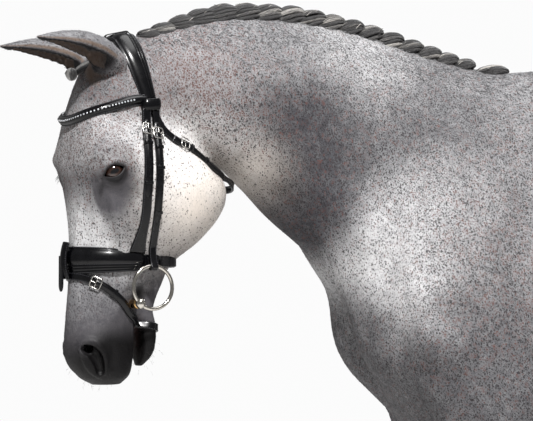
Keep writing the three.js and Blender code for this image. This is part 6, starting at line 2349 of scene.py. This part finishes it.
@dataclass
class Hair:
    """The coat's tufts and the whiskers."""

    maker: Maker
    finish: CoatFinish
    eye: Eye
    ear: Ear
    seed: int = 21
    share: float = 1.0  # of the tufts that are made
    MAP_START: tuple[float, float] = (0.015, 0.02)  # the bake map's margin
    MAP_SPAN: tuple[float, float] = (0.47, 0.96)  # its share for one side's length, and for the height
    BODY_START: float = 1.02  # metres from the straight origin forward to the nose
    BODY_SPAN: tuple[float, float] = (2.42, 1.80)  # the body's length and height, in metres
    WHISKERED: tuple[tuple[float, ...], ...] = (  # where whiskers grow: x, z, how many and how far apart
        (-770, 1150, 26, 15), (-850, 1108, 18, 18), (-880, 1120, 10, 12), (-795, 1180, 8, 14))
    TUFT_MAP: float = 0.0015  # half the size of a tuft's patch in the map

    def lie(self, points: Array) -> Array:
        """The way that the hair lies at points of the straight horse, in millimetres."""
        x, y, z = points[:, 0], points[:, 1], points[:, 2]
        head = ramp(-x, 700, 790)[:, None]
        on_ear = (ramp(-x, 846, 880) * ramp(z, 1600, 1622))[:, None]
        body = ramp(x, -120, 160)[:, None]
        low = ramp(-z, -1000, -860)[:, None]
        way = np.tile((0.42, 0.0, -0.9), (len(points), 1))
        way = way * (1 - body) + body * np.array([0.86, 0.0, -0.5])
        way = way * (1 - low) + low * np.array([0.12, 0.0, -1.0])
        way = way * (1 - head) + head * np.array([0.05, 0.0, -1.0])
        way[:, 1] += 0.25 * np.sign(y) * head[:, 0]
        return way * (1 - on_ear) + on_ear * np.array([-0.98, 0.1, 0.15])

    def build(self, skin: bpy.types.Object, look: bpy.types.Material, patches: Sequence[Patch]) -> None:
        """Scatters every patch over the straight skin."""
        mesh = skin.data
        mesh.calc_loop_triangles()
        index = np.empty(len(mesh.loop_triangles) * 3, np.int32)
        mesh.loop_triangles.foreach_get("vertices", index)
        corners = positions(skin)[index.reshape(-1, 3)] / MM
        normal = np.cross(corners[:, 1] - corners[:, 0], corners[:, 2] - corners[:, 0])
        area = np.linalg.norm(normal, axis=1)
        normal /= np.maximum(area, 1e-9)[:, None]
        middle = corners.mean(1)
        rng = np.random.default_rng(self.seed)
        for patch in patches:
            weight = area * np.clip(patch.density(middle, normal), 0, None)
            chosen = rng.choice(len(area), int(patch.count * self.share), p=weight / weight.sum())
            a, b = rng.random((2, len(chosen)))
            a, b = np.where(a + b > 1, 1 - a, a), np.where(a + b > 1, 1 - b, b)
            roots = (corners[chosen, 0] + a[:, None] * (corners[chosen, 1] - corners[chosen, 0])
                     + b[:, None] * (corners[chosen, 2] - corners[chosen, 0]))
            self._tufts(patch, roots, normal[chosen], look, rng)

    def _tufts(self, patch: Patch, roots: Array, normal: Array, look: bpy.types.Material,
               rng: np.random.Generator) -> None:
        """Makes one patch's tufts: short three-sided blades with their own bake places."""
        lie = self.lie(roots) + rng.normal(0, 0.16, roots.shape)
        lie -= np.einsum("ij,ij->i", lie, normal)[:, None] * normal
        lie /= np.linalg.norm(lie, axis=1)[:, None] + 1e-9
        blade = np.array([(0, -0.5, -0.06), (0, 0.5, -0.06), (0, 0, 0.10), (0.55, -0.36, 0.55),
                          (0.55, 0.36, 0.55), (0.55, 0, 0.68), (1.0, 0.0, 0.9)])
        blade = blade * (patch.length, patch.width, patch.length * patch.rise)
        faces = [(0, 1, 4, 3), (1, 2, 5, 4), (2, 0, 3, 5), (3, 4, 6), (4, 5, 6), (5, 3, 6), (2, 1, 0)]
        straight = roots * MM
        marks = self.finish.markings(straight, normal, self.ear, self.eye)
        marks["freckles"] = marks["freckles"] * patch.flecked
        size = rng.uniform(0.65, 1.3, (len(roots), 1)) * np.ones(3)
        thing = Scatter(patch.name, (blade, faces), 1.0, 0.25, self.seed).build(
            self.maker, roots - normal * 0.25, normal, lie, look, "coat", size,
            {"straight": straight, **marks})
        self._unwrap(thing, len(blade), straight, blade)

    def _unwrap(self, thing: bpy.types.Object, each: int, roots: Array, blade: Array) -> None:
        """Gives each tuft a small patch at its root's place on an unwrap of the skin from both sides."""
        layer = thing.data.uv_layers.new(name="OFBake")
        corner = np.empty(len(thing.data.loops), np.int32)
        thing.data.loops.foreach_get("vertex_index", corner)
        owner, part = corner // each, corner % each
        (start_u, start_v), (span_u, span_v), (length, height) = self.MAP_START, self.MAP_SPAN, self.BODY_SPAN
        u = start_u + span_u * (roots[:, 0] + self.BODY_START) / length + 0.5 * (roots[:, 1] > 0)
        v = start_v + span_v * roots[:, 2] / height
        spot = blade[:, :2] / np.abs(blade[:, :2]).max() * self.TUFT_MAP
        uv = np.stack([u[owner] + spot[part, 1], v[owner] + spot[part, 0]], 1)
        layer.data.foreach_set("uv", uv.astype(np.float32).ravel())

    def whiskers(self) -> None:
        """The long feelers of the muzzle and the chin."""
        rng = np.random.default_rng(self.seed + 1)
        bend = [(0, 0, 0), (0.8, 0, 4), (2.4, 0, 8), (5, 0, 11)]
        points, faces = hair_shape(bend, (0.32, 0.27, 0.2, 0.05), 4)
        places, outs = [], []
        for x, z, count, spread in self.WHISKERED:
            for _ in range(count):
                side = rng.choice((-1, 1))
                p = self.maker.surface((x + rng.normal(0, spread), 0, z + rng.normal(0, spread)),
                                       (rng.normal(0, 0.25), side, -0.35))
                places.append(p)
                outs.append(self.maker.normal(p) + rng.normal(0, 0.15, 3))
        lies = np.tile((0.1, 0.0, -1.0), (len(places), 1)) + rng.normal(0, 0.2, (len(places), 3))
        size = rng.uniform(0.5, 1.1, (len(places), 1)) * np.ones(3)
        look = PlainFinish("whisker", rgb(60, 56, 56), 0.5).material()
        Scatter("whiskers", (points, faces)).build(self.maker, np.array(places), np.array(outs), lies, look,
                                                   "coat", size)


# ---------------------------------------- studio


@dataclass
class Studio:
    """A pale floor, soft light and the camera."""

    pose: Pose
    aim: tuple[float, float, float] = (-0.520, -0.020, 1.395)  # on the straight horse's axes, from the origin
    azimuth: float = -13.0
    elevation: float = -3.0
    distance: float = 4.5
    seen: float = 0.93275  # the width of the picture at the aim
    fill: float = 0.24  # light from all round
    backdrop: float = 0.97  # brightness of what the camera sees behind the floor
    floor_half: float = 14.0
    lit: tuple[float, float, float] = (-0.6, 0.0, 1.4)  # what the lamps point at, from the origin
    lamps: tuple[tuple[object, ...], ...] = (  # name, place from what is lit, watts, size and tint
        ("key", (-0.5, -3.2, 3.1), 345, 0.3, (1.0, 0.99, 0.985)),
        ("top", (0.6, -0.4, 3.6), 90, 2.4, (1.0, 1.0, 1.0)),
        ("back", (1.8, 3.4, 2.2), 70, 2.2, (0.95, 0.97, 1.0)))

    def build(self) -> None:
        """Makes the floor, the lights, the world and the camera."""
        g = Graph("studio_floor")
        place = g.place()
        shade = g.noise(place, 1.3, 3, 0.5)
        floor_look = g.finish(Base_Color=g.mix(shade, rgb(232, 230, 228), rgb(222, 221, 220)), Roughness=0.75)
        corners = np.array([(-1, -1, 0), (1, -1, 0), (1, 1, 0), (-1, 1, 0)]) * self.floor_half
        floor = new_object("studio_floor", corners, [(0, 1, 2, 3)], False)
        floor.data.materials.append(floor_look)
        self._world()
        self._lights()
        self._camera()

    def _world(self) -> None:
        """Even light from all round, and a brighter backdrop that only the camera sees."""
        world = bpy.data.worlds.new("studio")
        bpy.context.scene.world = world
        world.use_nodes = True
        sky = world.node_tree.nodes["Background"]
        sky.inputs["Color"].default_value = (1.0, 1.0, 1.0, 1.0)
        sky.inputs["Strength"].default_value = self.fill
        seen = world.node_tree.nodes.new("ShaderNodeBackground")
        seen.inputs["Color"].default_value = (1.0, 1.0, 1.0, 1.0)
        seen.inputs["Strength"].default_value = self.backdrop
        path, mix = (world.node_tree.nodes.new(kind)
                     for kind in ("ShaderNodeLightPath", "ShaderNodeMixShader"))
        link = world.node_tree.links.new
        link(path.outputs["Is Camera Ray"], mix.inputs[0])
        link(sky.outputs[0], mix.inputs[1])
        link(seen.outputs[0], mix.inputs[2])
        link(mix.outputs[0], world.node_tree.nodes["World Output"].inputs[0])
        bpy.context.scene.view_settings.view_transform = "Standard"

    def _lights(self) -> None:
        """The lamps, each turned to the head."""
        head = Vector(self.pose.origin) + Vector(self.lit)
        for name, place, energy, size, tint in self.lamps:
            light = bpy.data.lights.new(name, "AREA")
            light.energy, light.size, light.color = energy, size, tint
            lamp = bpy.data.objects.new(name, light)
            bpy.context.scene.collection.objects.link(lamp)
            lamp.location = head + Vector(place)
            lamp.rotation_euler = (lamp.location - head).to_track_quat("Z", "Y").to_euler()

    def _camera(self) -> None:
        """The camera, on the near side of the head and neck."""
        a, e = math.radians(self.azimuth), math.radians(self.elevation)
        back = Vector((math.sin(a) * math.cos(e), -math.cos(a) * math.cos(e), math.sin(e)))
        camera = bpy.data.cameras.new("camera")
        camera.sensor_width = 36.0
        camera.lens = camera.sensor_width * self.distance / self.seen
        holder = bpy.data.objects.new("camera", camera)
        bpy.context.scene.collection.objects.link(holder)
        holder.location = Vector(self.pose.origin) + Vector(self.aim) + back * self.distance
        holder.rotation_euler = back.to_track_quat("Z", "Y").to_euler()
        bpy.context.scene.camera = holder


# ---------------------------------------- everything


def coat_patches() -> list[Patch]:
    """Where the coat's tufts grow: all over the front of the horse, and at the outline of the rest."""

    def crest(p: Array, n: Array) -> Array:
        """Along the crest, under the plaits."""
        on_top = (n[:, 2] > 0.45) * (p[:, 2] > 1560) * (np.abs(p[:, 1]) < 60)
        return (p[:, 0] < -60) * (p[:, 0] > -790) * on_top

    def face(p: Array, n: Array) -> Array:
        """On the head, thickest at its outline, but not on the bare muzzle or eyes."""
        bare = (p[:, 2] < 1140) | ((np.hypot(p[:, 0] + 858, p[:, 2] - 1446) < 24) & (np.abs(p[:, 1]) > 70))
        return (p[:, 0] < -640) * ~bare * (0.12 + (np.abs(n[:, 1]) < 0.6))

    def neck(p: Array, n: Array) -> Array:
        """On the neck and shoulder, thickest at their outline."""
        return (p[:, 0] >= -680) * (p[:, 0] < 0) * (p[:, 2] > 1000) * (0.12 + (np.abs(n[:, 1]) < 0.5))

    def rest(p: Array, n: Array) -> Array:
        """On the trunk, thickest at its outline."""
        return (p[:, 0] > -60) * (p[:, 2] > 800) * (0.2 + (np.abs(n[:, 1]) < 0.5))

    def legs(p: Array, n: Array) -> Array:
        """On the legs, thickest behind the fetlocks."""
        fetlock = np.exp(-(((p[:, 2] - 150) / 60) ** 2)) * (n[:, 0] > 0.2)
        return (p[:, 2] <= 800) * (p[:, 2] > 62) * (0.5 + 2.0 * fetlock)

    def ears(p: Array, _: Array) -> Array:
        """On the ears."""
        return (p[:, 0] < -850) * (p[:, 2] > 1590) * (1 - (np.abs(p[:, 1]) < 26))

    return [Patch("crest_hair", 4200, 8, 1.0, 0.45, crest, 0.1),
            Patch("face_coat", 13000, 4.2, 0.8, 0.20, face, 0.5),
            Patch("neck_coat", 14000, 5.5, 0.9, 0.18, neck, 0.5),
            Patch("body_coat", 15500, 7.5, 2.0, 0.18, rest),
            Patch("leg_coat", 12000, 8.5, 1.7, 0.30, legs),
            Patch("ear_coat", 6000, 4.5, 0.7, 0.30, ears, 0.3)]


def main() -> None:
    """Builds the horse, its bridle and the studio, and reports each piece."""
    logging.basicConfig(level=logging.INFO, format="%(message)s")
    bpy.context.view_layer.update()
    pose = Pose.from_frame()
    flesh = Flesh(pose)
    skin = flesh.build()
    maker = Maker.on(pose, skin)
    finish = CoatFinish()
    coat = finish.material()
    Eyes(flesh.eye).build(maker)
    Bridle(maker).build()
    Plaits(maker).build()
    Tail(maker).build()
    Hooves(maker).build()
    hair = Hair(maker, finish, flesh.eye, flesh.ear, share=1.0)
    hair.build(skin, coat, coat_patches())
    hair.whiskers()
    normals = np.empty(len(skin.data.vertices) * 3, np.float32)
    skin.data.vertices.foreach_get("normal", normals)
    for name, values in finish.markings(positions(skin), normals.reshape(-1, 3).astype(float), flesh.ear,
                                        flesh.eye).items():
        note(skin, name, values)
    flesh.settle(skin)
    legs = [f"{end}leg_{side.word}" for end in ("fore", "hind") for side in Side]
    ears = [f"ear_{side.word}" for side in Side]
    maker.declare(skin, coat, "coat", ["head", "neck", "trunk", *legs, *ears])
    Studio(pose).build()


if __name__ == "__main__":
    main()
